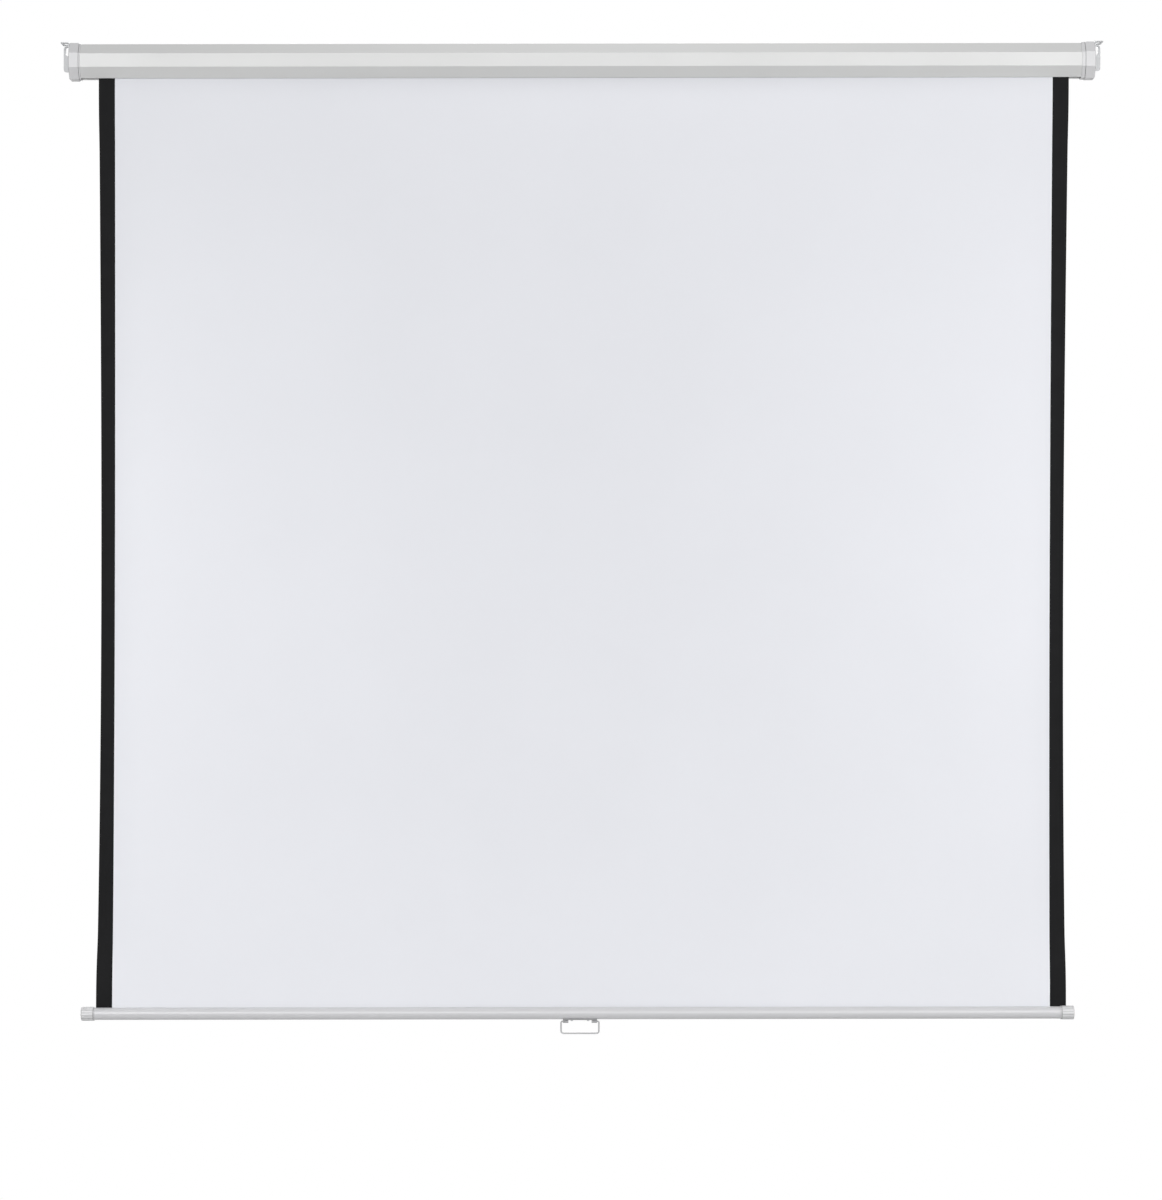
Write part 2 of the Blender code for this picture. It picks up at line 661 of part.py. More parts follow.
def spring_collar():
    """Collar crimped on the spindle, which grips the spring's fixed end."""
    near = -COLLAR_START
    far = near + COLLAR_SEAT_LENGTH
    bore = SPINDLE_RADIUS + SEAT
    profile = [(near, bore), (near, SPRING_SEAT), (far, SPRING_SEAT), (far, bore)]
    made = turned("spring_collar", profile, plated("collar_zinc"), MEDIUM_ROUND, bored=True)
    made.location = (0.0, ROLLER_Y, 0.0)
    return made


def torsion_spring():
    """Steel coil between the collar on the spindle and the anchor in the roller."""
    wire_sides = 5
    steps_per_turn = 12
    steps = SPRING_TURNS * steps_per_turn
    first = -SPRING_START
    last = -ANCHOR_FACE - SPRING_WIRE - SEAT
    rings = []
    for step in range(steps + 1):
        share = step / steps
        turn = 2 * math.pi * SPRING_TURNS * share
        centre = Vector((first + (last - first) * share, *polar(SPRING_RADIUS, turn)))
        outward = Vector((0.0, *polar(1.0, turn)))
        along = Vector((1.0, 0.0, 0.0))
        ring = []
        for corner in range(wire_sides):
            angle = 2 * math.pi * corner / wire_sides
            ring.append(centre + SPRING_WIRE * (math.cos(angle) * outward + math.sin(angle) * along))
        rings.append(ring)
    made = solid("torsion_spring", rings, material("spring_steel", (0.35, 0.35, 0.37), 0.4, 0.9))
    made.location = (0.0, ROLLER_Y, 0.0)
    return made


def idler_bush():
    """Nylon bush pressed in the right cap's boss, with a thrust rim."""
    bore = IDLER_RADIUS + SEAT
    outer = bore + BUSH_WALL
    far = CAP_INSIDE - SEAT
    rim_back = BOSS_FACE - SEAT
    rim_front = rim_back - BUSH_RIM
    rim_radius = (outer + BOSS_RADIUS) / 2
    profile = [
        (far, bore),
        (far, outer),
        (rim_back, outer),
        (rim_back, rim_radius),
        (rim_front, rim_radius),
        (rim_front, bore),
    ]
    made = turned("idler_bush", profile, nylon("bush_nylon"), MEDIUM_ROUND, bored=True)
    made.location = (0.0, ROLLER_Y, 0.0)
    return made


def roller_tube():
    """Thin steel tube that carries the fabric."""
    inner = ROLLER_RADIUS - ROLLER_WALL
    profile = [
        (-TUBE_HALF, inner),
        (-TUBE_HALF, ROLLER_RADIUS),
        (TUBE_HALF, ROLLER_RADIUS),
        (TUBE_HALF, inner),
    ]
    return turned("roller_tube", profile, plated("roller_steel"), ROUND, bored=True)


def fabric_wraps():
    """The turns of fabric still wound on the roller, as a spiral ribbon."""
    steps = int(ROUND * WRAP_TURNS)
    outer_side = []
    inner_side = []
    for step in range(steps + 1):
        turn = 2 * math.pi * WRAP_TURNS * step / steps
        radius = WRAP_INNER + WRAP_PITCH * turn / (2 * math.pi)
        inner_y, inner_z = polar(radius, math.pi + turn)
        outer_y, outer_z = polar(radius + FABRIC_THICKNESS, math.pi + turn)
        inner_side.append([(x, inner_y, inner_z) for x in (-FABRIC_WIDTH / 2, FABRIC_WIDTH / 2)])
        outer_side.append([(x, outer_y, outer_z) for x in (-FABRIC_WIDTH / 2, FABRIC_WIDTH / 2)])
    made = sheet("fabric_wraps", outer_side, inner_side, material("wound_vinyl", (0.82, 0.83, 0.86), 0.85))
    made.location.x = TOP_SHIFT
    return made


def ratchet_head():
    """Head pressed in the roller's left end: a flange for the pawls and a plug in the tube."""
    bore = SPINDLE_RADIUS + SEAT
    tube_end = -TUBE_HALF
    profile = [
        (-FLANGE_FACE, bore),
        (-FLANGE_FACE, FLANGE_RADIUS),
        (tube_end - SEAT, FLANGE_RADIUS),
        (tube_end - SEAT, PLUG_RADIUS),
        (tube_end + PLUG_LENGTH, PLUG_RADIUS),
        (tube_end + PLUG_LENGTH, bore),
    ]
    head = turned("ratchet_head", profile, plated("head_zinc"), ROUND, bored=True)
    for angle in (0.0, math.pi):
        outline = circle(polar(PIVOT_RADIUS, angle), PAWL_PIN_RADIUS + SEAT, PIN_ROUND)
        hole = prism("hole", outline, -FLANGE_FACE - OVERLAP, tube_end, head.data.materials[0])
        combine(head, hole, "DIFFERENCE")
    return head


def pawl_pin(name, angle):
    """Headed pin that a pawl swings on."""
    root = -FLANGE_FACE + FLANGE_THICKNESS - SEAT
    head_back = -FLANGE_FACE - SEAT - PAWL_THICKNESS - SEAT
    head_front = head_back - PAWL_PIN_RADIUS
    head_radius = PAWL_EYE - PAWL_EYE_WALL / 2
    profile = [
        (root, PAWL_PIN_RADIUS),
        (head_back, PAWL_PIN_RADIUS),
        (head_back, head_radius),
        (head_front, head_radius),
    ]
    made = turned(name, profile, plated(name + "_steel"), PIN_ROUND)
    y, z = polar(PIVOT_RADIUS, angle)
    made.location = (0.0, y, z)
    return made


def pawl(name, angle):
    """Small lever whose nose rides on the hub; it is modelled about its own pivot."""
    nose_y, nose_z = polar(HUB_LAND + PAWL_GAP + NOSE_RADIUS, angle - PAWL_SPREAD)
    pivot_y, pivot_z = polar(PIVOT_RADIUS, angle)
    offset = Vector((nose_y - pivot_y, nose_z - pivot_z))
    heading = math.atan2(offset.y, offset.x)
    lean = math.asin((PAWL_EYE - NOSE_RADIUS) / offset.length)
    left = heading + math.pi / 2 - lean
    right = heading + 1.5 * math.pi + lean
    eye_side = arc((0.0, 0.0), PAWL_EYE, left, right, SMALL_ROUND)
    nose_centre = (offset.x, offset.y)
    tip = arc(nose_centre, NOSE_RADIUS, right - 2 * math.pi, left, HALF_STEPS)
    near = -FLANGE_FACE - SEAT
    far = near - PAWL_THICKNESS
    made = prism(name, eye_side + tip, near, far, plated(name + "_steel"))
    hole_outline = circle((0.0, 0.0), PAWL_BORE, PIN_ROUND)
    hole = prism("hole", hole_outline, near + OVERLAP, far - OVERLAP, made.data.materials[0])
    combine(made, hole, "DIFFERENCE")
    return made


def spring_anchor():
    """Plug fixed inside the roller, which takes the spring's turning end."""
    nose = -ANCHOR_FACE - COLLAR_SEAT_LENGTH
    face = -ANCHOR_FACE
    back = face + PLUG_LENGTH
    bore = SPINDLE_NECK + SEAT
    profile = [
        (nose, bore),
        (nose, SPRING_SEAT),
        (face, SPRING_SEAT),
        (face, PLUG_RADIUS),
        (back, PLUG_RADIUS),
        (back, bore),
    ]
    return turned("spring_anchor", profile, nylon("anchor_nylon"), ROUND, bored=True)


def idler_plug():
    """Plug pressed in the roller's right end, bored for its pin."""
    bore = IDLER_RADIUS + SEAT
    hub_face = BOSS_FACE - SEAT - BUSH_RIM - END_PLAY
    hub_radius = bore + BUSH_WALL
    profile = [
        (hub_face, bore),
        (hub_face, hub_radius),
        (FLANGE_FACE, hub_radius),
        (FLANGE_FACE, FLANGE_RADIUS),
        (TUBE_HALF + SEAT, FLANGE_RADIUS),
        (TUBE_HALF + SEAT, PLUG_RADIUS),
        (TUBE_HALF - PLUG_LENGTH, PLUG_RADIUS),
        (TUBE_HALF - PLUG_LENGTH, bore),
    ]
    return turned("idler_plug", profile, nylon("plug_nylon"), ROUND, bored=True)


def idler_pin():
    """Steel pin fixed in the idler plug, which turns in the cap's bush."""
    tip = CAP_INSIDE - END_PLAY
    edge = IDLER_RADIUS / 4
    profile = [
        (TUBE_HALF - PLUG_LENGTH, IDLER_RADIUS),
        (tip - edge, IDLER_RADIUS),
        (tip, IDLER_RADIUS - edge),
    ]
    return turned("idler_pin", profile, plated("idler_steel"), MEDIUM_ROUND)


def curl_at(z):
    """How far the fabric's side edge has turned at a height: none at the case and at the bar."""
    top = -CASE_HEIGHT / 2
    bottom = -BAR_DROP + BAR_RADIUS
    share = min(max((top - z) / (top - bottom), 0.0), 1.0)
    return CURL_ANGLE * math.sin(math.pi * share ** CURL_SAG) ** CURL_SHARPNESS


def shift_at(z):
    """How far the hanging cloth lies to the right of the case's middle at a height."""
    share = z / (BAR_RADIUS - BAR_DROP)
    return TOP_SHIFT + (LOW_SHIFT - TOP_SHIFT) * share


def fabric_point(across, z):
    """Where a point of the hanging fabric lies: across runs along the cloth from its middle."""
    flat = FABRIC_WIDTH / 2 - CURL_ZONE
    over = abs(across) - flat
    turn = curl_at(z)
    if over <= 0.0 or turn < FLAT_TURN:
        return (across + shift_at(z), FABRIC_Y)
    radius = CURL_ZONE / turn
    angle = over / radius
    x = math.copysign(flat + radius * math.sin(angle), across)
    return (x + shift_at(z), FABRIC_Y + radius * (1.0 - math.cos(angle)))


def fabric_stations():
    """Distances across the fabric where its mesh has a line, from the left edge to the right."""
    half = FABRIC_WIDTH / 2
    flat = half - CURL_ZONE
    inner_edge = half - BORDER_WIDTH
    right = [flat / 3, flat * 2 / 3, flat]
    right += [flat + (inner_edge - flat) * step / CURL_STEPS for step in range(1, CURL_STEPS + 1)]
    right += [half - BORDER_WIDTH / 2, half]
    return [-distance for distance in reversed(right)] + [0.0] + right


def screen_fabric():
    """The hanging sheet, from the roller to the spline: black at the back and along each side."""
    heights = [0.0, -CASE_HEIGHT / 2]
    low = -BAR_DROP + BAR_RADIUS
    for row in range(1, FABRIC_ROWS + 1):
        heights.append(heights[1] + (low - heights[1]) * row / FABRIC_ROWS)
    heights.append(FABRIC_BOTTOM)
    half = FABRIC_THICKNESS / 2
    stations = fabric_stations()
    front = []
    back = []
    for z in heights:
        places = [fabric_point(across, z) for across in stations]
        front.append([(x, y - half, z) for x, y in places])
        back.append([(x, y + half, z) for x, y in places])
    made = sheet("screen_fabric", front, back, material("matt_white_vinyl", (0.82, 0.83, 0.86), 0.85))
    made.data.materials.append(material("black_vinyl", (0.02, 0.02, 0.02), 0.8))
    edge = FABRIC_WIDTH / 2 - BORDER_WIDTH
    for face in made.data.polygons:
        across = abs(face.center.x - shift_at(face.center.z))
        if across > edge or face.normal.y > 0:
            face.material_index = 1
    return made


def bottom_bar():
    """Extruded round bar, slotted along its top for the fabric."""
    half_gap_outer = math.asin(BAR_SLOT / 2 / BAR_RADIUS)
    half_gap_inner = math.asin(BAR_SLOT / 2 / BAR_INNER)
    top = math.pi / 2
    outer = arc((0.0, 0.0), BAR_RADIUS, top + half_gap_outer, top + 2 * math.pi - half_gap_outer, ROUND)
    inner = arc((0.0, 0.0), BAR_INNER, top + 2 * math.pi - half_gap_inner, top + half_gap_inner, ROUND)
    made = prism("bottom_bar", outer + inner, -BAR_TUBE_HALF, BAR_TUBE_HALF, painted("bar_enamel"))
    for side in (1, -1):
        centre = (side * HANDLE_SCREW_SPACING / 2 + HANDLE_OFFSET - BAR_OFFSET, 0.0)
        hole_outline = circle(centre, HANDLE_SCREW_RADIUS + SEAT, PIN_ROUND)
        beyond = -BAR_RADIUS - OVERLAP
        hole = prism("hole", hole_outline, beyond, -BAR_INNER / 2, made.data.materials[0], "Z")
        combine(made, hole, "DIFFERENCE")
    made.location.x = BAR_OFFSET
    return made


def hem_spline():
    """Slit plastic rod that grips the fabric's lower edge and hangs in the bar's slot."""
    half_slit = FABRIC_THICKNESS / 2 + SEAT
    half_angle = math.asin(half_slit / SPLINE_RADIUS)
    top = math.pi / 2
    last = top + 2 * math.pi - half_angle
    outline = arc((0.0, 0.0), SPLINE_RADIUS, top + half_angle, last, MEDIUM_ROUND)
    slit_floor = SPLINE_RADIUS - SPLINE_GRIP - SEAT
    outline += [(half_slit, slit_floor), (-half_slit, slit_floor)]
    half = FABRIC_WIDTH / 2 + SPLINE_SIDE_ROOM
    made = prism("hem_spline", outline, -half, half, nylon("spline_plastic"))
    made.location = (LOW_SHIFT, 0.0, SPLINE_Z)
    return made


def fluted(radius, depth, sides_per_flute=4):
    """Outline of a round form with shallow flutes along it."""
    count = FLUTES * sides_per_flute
    outline = []
    for step in range(count):
        angle = 2 * math.pi * step / count
        outline.append(polar(radius - depth * (1 - math.cos(FLUTES * angle)) / 2, angle))
    return outline


def bar_cap(name, side):
    """Fluted cup over the bar's end, slit along its top where the fabric passes."""
    bore = BAR_RADIUS + SEAT
    outer = bore + BAR_CAP_WALL
    end = BAR_HALF
    mouth = BAR_HALF - BAR_CAP_LENGTH
    inside = BAR_HALF - BAR_CAP_END
    bevel = BAR_CAP_ROUND * (1.0 - math.sqrt(0.5))
    stations = [
        (end, outer - BAR_CAP_ROUND, 0.0),
        (end - bevel, outer - bevel, FLUTE_DEPTH / 2),
        (end - BAR_CAP_ROUND, outer, FLUTE_DEPTH),
        (mouth + BAR_CAP_WALL + 2 * BAR_CAP_GROOVE, outer, FLUTE_DEPTH),
        (mouth + BAR_CAP_WALL + BAR_CAP_GROOVE, outer - BAR_CAP_GROOVE, 0.0),
        (mouth + BAR_CAP_WALL, outer, 0.0),
        (mouth, outer - FLUTE_DEPTH, 0.0),
        (mouth, bore, 0.0),
        (inside, bore, 0.0),
    ]
    rings = [[(side * x, y, z) for y, z in fluted(radius, depth)] for x, radius, depth in stations]
    cap = solid(name, rings, moulded(name + "_plastic"))
    slit_outline = [
        (-BAR_SLOT / 2, 0.0),
        (BAR_SLOT / 2, 0.0),
        (BAR_SLOT / 2, outer + OVERLAP),
        (-BAR_SLOT / 2, outer + OVERLAP),
    ]
    open_end = side * (mouth - OVERLAP)
    slit_end = side * (mouth + CAP_SLIT_LENGTH)
    slit = prism("slit", slit_outline, open_end, slit_end, cap.data.materials[0])
    combine(cap, slit, "DIFFERENCE")
    cap.location.x = BAR_OFFSET
    return cap


def handle_bracket():
    """Steel saddle under the bar with a curled knuckle at each end for the handle's wire."""
    start = 1.5 * math.pi - SADDLE_HALF_ANGLE
    end = 1.5 * math.pi + SADDLE_HALF_ANGLE
    outline = arc((0.0, 0.0), SADDLE_OUTER, start, end, PROFILE_STEPS)
    outline += arc((0.0, 0.0), SADDLE_INNER, end, start, PROFILE_STEPS)
    finish = painted("handle_bracket_enamel")
    made = prism("handle_bracket", outline, -KNUCKLE_END, KNUCKLE_END, finish)
    centre = (0.0, HANDLE_Z + BAR_DROP)
    for side in (1, -1):
        near = KNUCKLE_END - KNUCKLE_LENGTH
        far = KNUCKLE_END
        outline = circle(centre, KNUCKLE_OUTER, MEDIUM_ROUND)
        knuckle = prism("knuckle", outline, side * near, side * far, finish)
        combine(made, knuckle, "UNION")
        outline = circle(centre, KNUCKLE_BORE, MEDIUM_ROUND)
        bore = prism("bore", outline, side * (near - OVERLAP), side * (far + OVERLAP), finish)
        combine(made, bore, "DIFFERENCE")
        outline = circle((side * HANDLE_SCREW_SPACING / 2, 0.0), HANDLE_SCREW_RADIUS + SEAT, PIN_ROUND)
        hole = prism("hole", outline, -SADDLE_OUTER - OVERLAP, -BAR_INNER, finish, "Z")
        combine(made, hole, "DIFFERENCE")
    made.location.x = HANDLE_OFFSET
    return made


def handle_screw(name, side):
    """Small screw up through the saddle into the bar."""
    head = (HANDLE_SCREW_HEAD, HANDLE_SCREW_HEAD_HEIGHT)
    made = screw(name, HANDLE_SCREW_RADIUS, HANDLE_SCREW_LENGTH, *head)
    made.rotation_euler = (0.0, math.pi / 2, 0.0)
    made.location = (side * HANDLE_SCREW_SPACING / 2 + HANDLE_OFFSET, 0.0, -SADDLE_OUTER - SEAT)
    return made


def pull_handle():
    """Wire bail: two turned-in ends, two uprights and a lower bar with rounded corners."""
    half = HANDLE_WIDTH / 2
    low = -HANDLE_DROP
    bend = WIRE_BEND
    path = [(PIN_END, 0.0)]
    path += arc((half - TOP_BEND, -TOP_BEND), TOP_BEND, math.pi / 2, 0.0, CORNER_STEPS)
    path += arc((half - bend, low + bend), bend, 0.0, -math.pi / 2, CORNER_STEPS)
    path += [(-x, z) for x, z in reversed(path)]
    rings = []
    for index, (x, z) in enumerate(path):
        before = Vector(path[max(index - 1, 0)])
        after = Vector(path[min(index + 1, len(path) - 1)])
        heading = (after - before).normalized()
        across = Vector((heading.y, 0.0, -heading.x))
        ring = []
        for corner in range(PIN_ROUND):
            angle = 2 * math.pi * corner / PIN_ROUND
            depth = Vector((0.0, WIRE_RADIUS * math.sin(angle), 0.0))
            ring.append(Vector((x, 0.0, z)) + WIRE_RADIUS * math.cos(angle) * across + depth)
        rings.append(ring)
    return solid("pull_handle", rings, painted("handle_enamel"))


def build_housing():
    """Everything that stays still, and the hanging fabric."""
    housing_case()
    left_cap()
    right_cap()
    for side_name, side in (("left", -1), ("right", 1)):
        mount_bracket("mount_bracket_" + side_name, side)
        cap_screws(side_name, side)
    spindle()
    ratchet_hub()
    spring_collar()
    torsion_spring()
    idler_bush()
    screen_fabric()


def build_roller():
    """The turning roller and the two pawls on its head."""
    axle = axis_marker("roller_axis", (0.0, ROLLER_Y, 0.0))
    pieces = [roller_tube(), fabric_wraps(), ratchet_head(), spring_anchor(), idler_plug(), idler_pin()]
    for letter, angle in (("a", 0.0), ("b", math.pi)):
        pieces.append(pawl_pin("pawl_pin_" + letter, angle))
        y, z = polar(PIVOT_RADIUS, angle)
        pivot = axis_marker("pawl_axis_" + letter, (0.0, y, z), axle)
        place([pawl("pawl_" + letter, angle)], pivot)
    place(pieces, axle)


def build_bar():
    """The weighted bar that slides up and down, and the handle that swings under it."""
    slide = axis_marker("bar_slide", (0.0, FABRIC_Y, -BAR_DROP))
    pieces = [bottom_bar(), hem_spline(), bar_cap("bar_cap_left", -1), bar_cap("bar_cap_right", 1)]
    pieces += [handle_bracket(), handle_screw("handle_screw_left", -1), handle_screw("handle_screw_right", 1)]
    place(pieces, slide)
    swing = axis_marker("handle_axis", (HANDLE_OFFSET, 0.0, HANDLE_Z + BAR_DROP), slide)
    place([pull_handle()], swing)


clear_scene()
build_housing()
build_roller()
build_bar()
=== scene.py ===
import math

import bpy
from mathutils import Matrix, Vector


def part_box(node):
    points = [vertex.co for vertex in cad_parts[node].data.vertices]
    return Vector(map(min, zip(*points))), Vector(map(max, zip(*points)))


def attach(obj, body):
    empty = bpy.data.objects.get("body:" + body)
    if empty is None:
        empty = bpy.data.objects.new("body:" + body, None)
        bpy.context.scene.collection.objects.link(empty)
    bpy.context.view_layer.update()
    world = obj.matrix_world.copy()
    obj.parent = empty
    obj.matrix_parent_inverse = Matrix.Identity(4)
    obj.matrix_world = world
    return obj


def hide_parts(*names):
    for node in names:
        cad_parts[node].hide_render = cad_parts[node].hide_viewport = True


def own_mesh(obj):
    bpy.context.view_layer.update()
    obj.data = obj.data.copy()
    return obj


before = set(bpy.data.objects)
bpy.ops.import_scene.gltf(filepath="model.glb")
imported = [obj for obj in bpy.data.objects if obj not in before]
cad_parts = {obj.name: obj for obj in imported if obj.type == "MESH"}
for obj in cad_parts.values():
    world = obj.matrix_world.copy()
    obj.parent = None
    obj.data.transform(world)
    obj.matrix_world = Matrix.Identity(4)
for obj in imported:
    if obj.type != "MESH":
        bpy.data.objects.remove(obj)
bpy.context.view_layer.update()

# Sizes that the model's source has too, in metres. Heights are from the roller's axis.
FABRIC_WIDTH = 1.800
FABRIC_THICKNESS = 0.00045
FABRIC_Y = -0.040225
FABRIC_BOTTOM = -1.7618
BORDER_WIDTH = 0.030
CURL_ZONE = 0.095
CURL_ANGLE = math.radians(31.0)
CURL_SHARPNESS = 0.5
CURL_SAG = 1.23
TOP_SHIFT = 0.0034
LOW_SHIFT = -0.0044
CASE_BOTTOM = -0.0315
BAR_TOP = -1.7555
ROLLER_Y = -0.02495
WRAP_INNER = 0.0128
WRAP_PITCH = 0.00075
WRAP_TURNS = 2.0
FLUTE_DEPTH = 0.0004

# Screws from the source too: each shank's radius and length, each head's radius and height.
CASE_SCREW_SHANK = (0.0017, 0.014)
BRACKET_SCREW_SHANK = (0.0017, 0.010)
CASE_SCREW_HEAD = (0.0036, 0.0022)
HANDLE_SCREW_SHANK = (0.0013, 0.006)
HANDLE_SCREW_HEAD = (0.0026, 0.0014)

# Where the caps' grooves are along X, and half of each one's width.
CAP_GROOVES = (-0.9324, 0.9324)
CAP_GROOVE_HALF = 0.0004
BAR_CAP_GROOVES = (-0.9086, 0.8870)
BAR_CAP_GROOVE_HALF = 0.0007

# The cloth's mesh: the height over which its curl sets in, the least turn that counts as one,
# the steps that its parts take, and the angle above which an edge stays sharp.
CURL_ONSET = 0.14
LEAST_TURN = 0.001
FLAT_STEPS = 16
CURL_STEPS = 9
BORDER_STEPS = 10
HEIGHT_STEPS = 84
WOUND_STEPS = 128
CLOTH_SHARP = math.radians(35.0)

# The places of the cloth's three finishes among its materials.
WHITE_SIDE = 0
BLACK_BORDER = 1
BLACK_BACK = 2

# The screws' meshes. A recess is given as shares of its head's radius and height.
SCREW_SIDES = 40
DOME_STEPS = 8
DOME_TURN = math.radians(62.0)
TIP_SHARE = 0.4
RECESS_REACH = 0.55
RECESS_HALF_SLOT = 0.15
RECESS_TOP = 1.2
RECESS_FLOOR = 0.15
RECESS_TAPER = 0.55
FIRST_SPIN = 0.3
SPIN_STEP = 0.9
SCREW_SHARP = math.radians(30.0)

# The softened edges of case and brackets.
CASE_EDGE = 0.0004
BRACKET_EDGE = 0.0003
EDGE_SEGMENTS = 2
EDGE_LIMIT = math.radians(28.0)
FLAT_LIMIT = math.radians(1.0)
WELD_DISTANCE = 0.000005

# The camera stands level in front of the fabric, a little below its middle, turned a hair clockwise.
# Its lens and sensor are in millimetres, the rest is in metres and radians.
CAMERA = (-0.0033, -7.2402, -1.0005)
CAMERA_ROLL = 0.0014
LENS = 116.4
SENSOR = 36.0
FARTHEST = 100.0

# The world's light on the object, below and above a band round the horizon.
AMBIENT_LOW = 0.0
AMBIENT_HIGH = 0.324
HORIZON_BAND = 0.15

# The floor, and the distances from its middle between which what is seen of it turns to plain white.
FLOOR_Z = -2.35
FLOOR_RADIUS = 1.5
FLOOR_SIDES = 96
FADE_START = 0.6
FADE_END = 1.45
LEAST_WHITE = 0.5

# Colours.
WHITE_VINYL = (0.832, 0.842, 0.884)
BORDER_BLACK = (0.0070, 0.0070, 0.0076)
BACK_BLACK = (0.018, 0.018, 0.019)
ENAMEL = (0.672, 0.676, 0.672)
BRACKET_WHITE = (0.74, 0.75, 0.76)
BAR_WHITE = (0.585, 0.585, 0.600)
CAP_WHITE = (0.69, 0.69, 0.70)
WIRE_GREY = (0.50, 0.50, 0.51)
KNUCKLE_PAINTED_SHADE_GREY = (0.38, 0.38, 0.39)
# A darker grey on the handle bracket: painted shade on its knuckles.
ZINC = (0.62, 0.63, 0.65)
SPRING_GREY = (0.32, 0.32, 0.34)
NATURAL_NYLON = (0.72, 0.71, 0.66)
# The colour of the painted shade in the caps' grooves and flutes.
GROOVE_PAINTED_SHADE = (0.16, 0.16, 0.16)
FLOOR_GREY = (0.82, 0.82, 0.82)

# Painted shade in the caps' grooves and flutes, uneven over the surface: how dark it is in grooves and
# flutes, the shares of a groove's half width and of a flute's depth at which it begins to fade and
# ends, and how much of it the palest patches keep.
GROOVE_SHADE_DARKNESS = 0.75
GROOVE_SHADE_FADES = 0.7
GROOVE_SHADE_ENDS = 1.5
FLUTE_SHADE_DARKNESS = 0.4
FLUTE_SHADE_FADES = 0.15
FLUTE_SHADE_ENDS = 0.65
PALEST_SHADE_PATCH = 0.75

# Most values of a Noise texture lie between these two.
NOISE_LOW = 0.3
NOISE_HIGH = 0.7

# A Wave texture of scale 1 turns by this many radians in a metre.
WAVE_RATE = 20.0

# Scales along X, Y and Z: for streaks drawn along the screen, and for distances in plan.
STREAK_SCALE = (60.0, 900.0, 900.0)
PLAN_SCALE = (1.0, 1.0, 0.0)

# Sockets of a Mix node that mixes colours.
MIX_SHARE = 0
MIX_FIRST = 6
MIX_SECOND = 7
MIX_RESULT = 2


# Small helpers

def new_mesh(name, points, faces):
    mesh = bpy.data.meshes.new(name)
    mesh.from_pydata(points, [], faces)
    mesh.update()
    return mesh


def placed(name, data):
    """A new object in the scene, at the origin."""
    made = bpy.data.objects.new(name, data)
    bpy.context.scene.collection.objects.link(made)
    return made


def mark_smooth(thing, sharp):
    """Smooth shading, with the edges that turn by more than an angle kept hard."""
    thing.data.shade_smooth()
    thing.data.set_sharp_from_angle(angle=sharp)


def spaced(start, end, steps):
    """Places at equal steps from a start, which isn't among them, to an end, which is."""
    return [start + (end - start) * step / steps for step in range(1, steps + 1)]


def eased(share):
    """A share held between 0 and 1 that leaves both gently."""
    share = min(1.0, max(0.0, share))
    return share * share * (3.0 - 2.0 * share)


def worked(tree, operation, value, other=None):
    """A Math node on a value and, where it takes two, on a number or another value."""
    node = tree.nodes.new("ShaderNodeMath")
    node.operation = operation
    tree.links.new(value, node.inputs[0])
    if isinstance(other, float):
        node.inputs[1].default_value = other
    elif other is not None:
        tree.links.new(other, node.inputs[1])
    return node.outputs["Value"]


# Materials

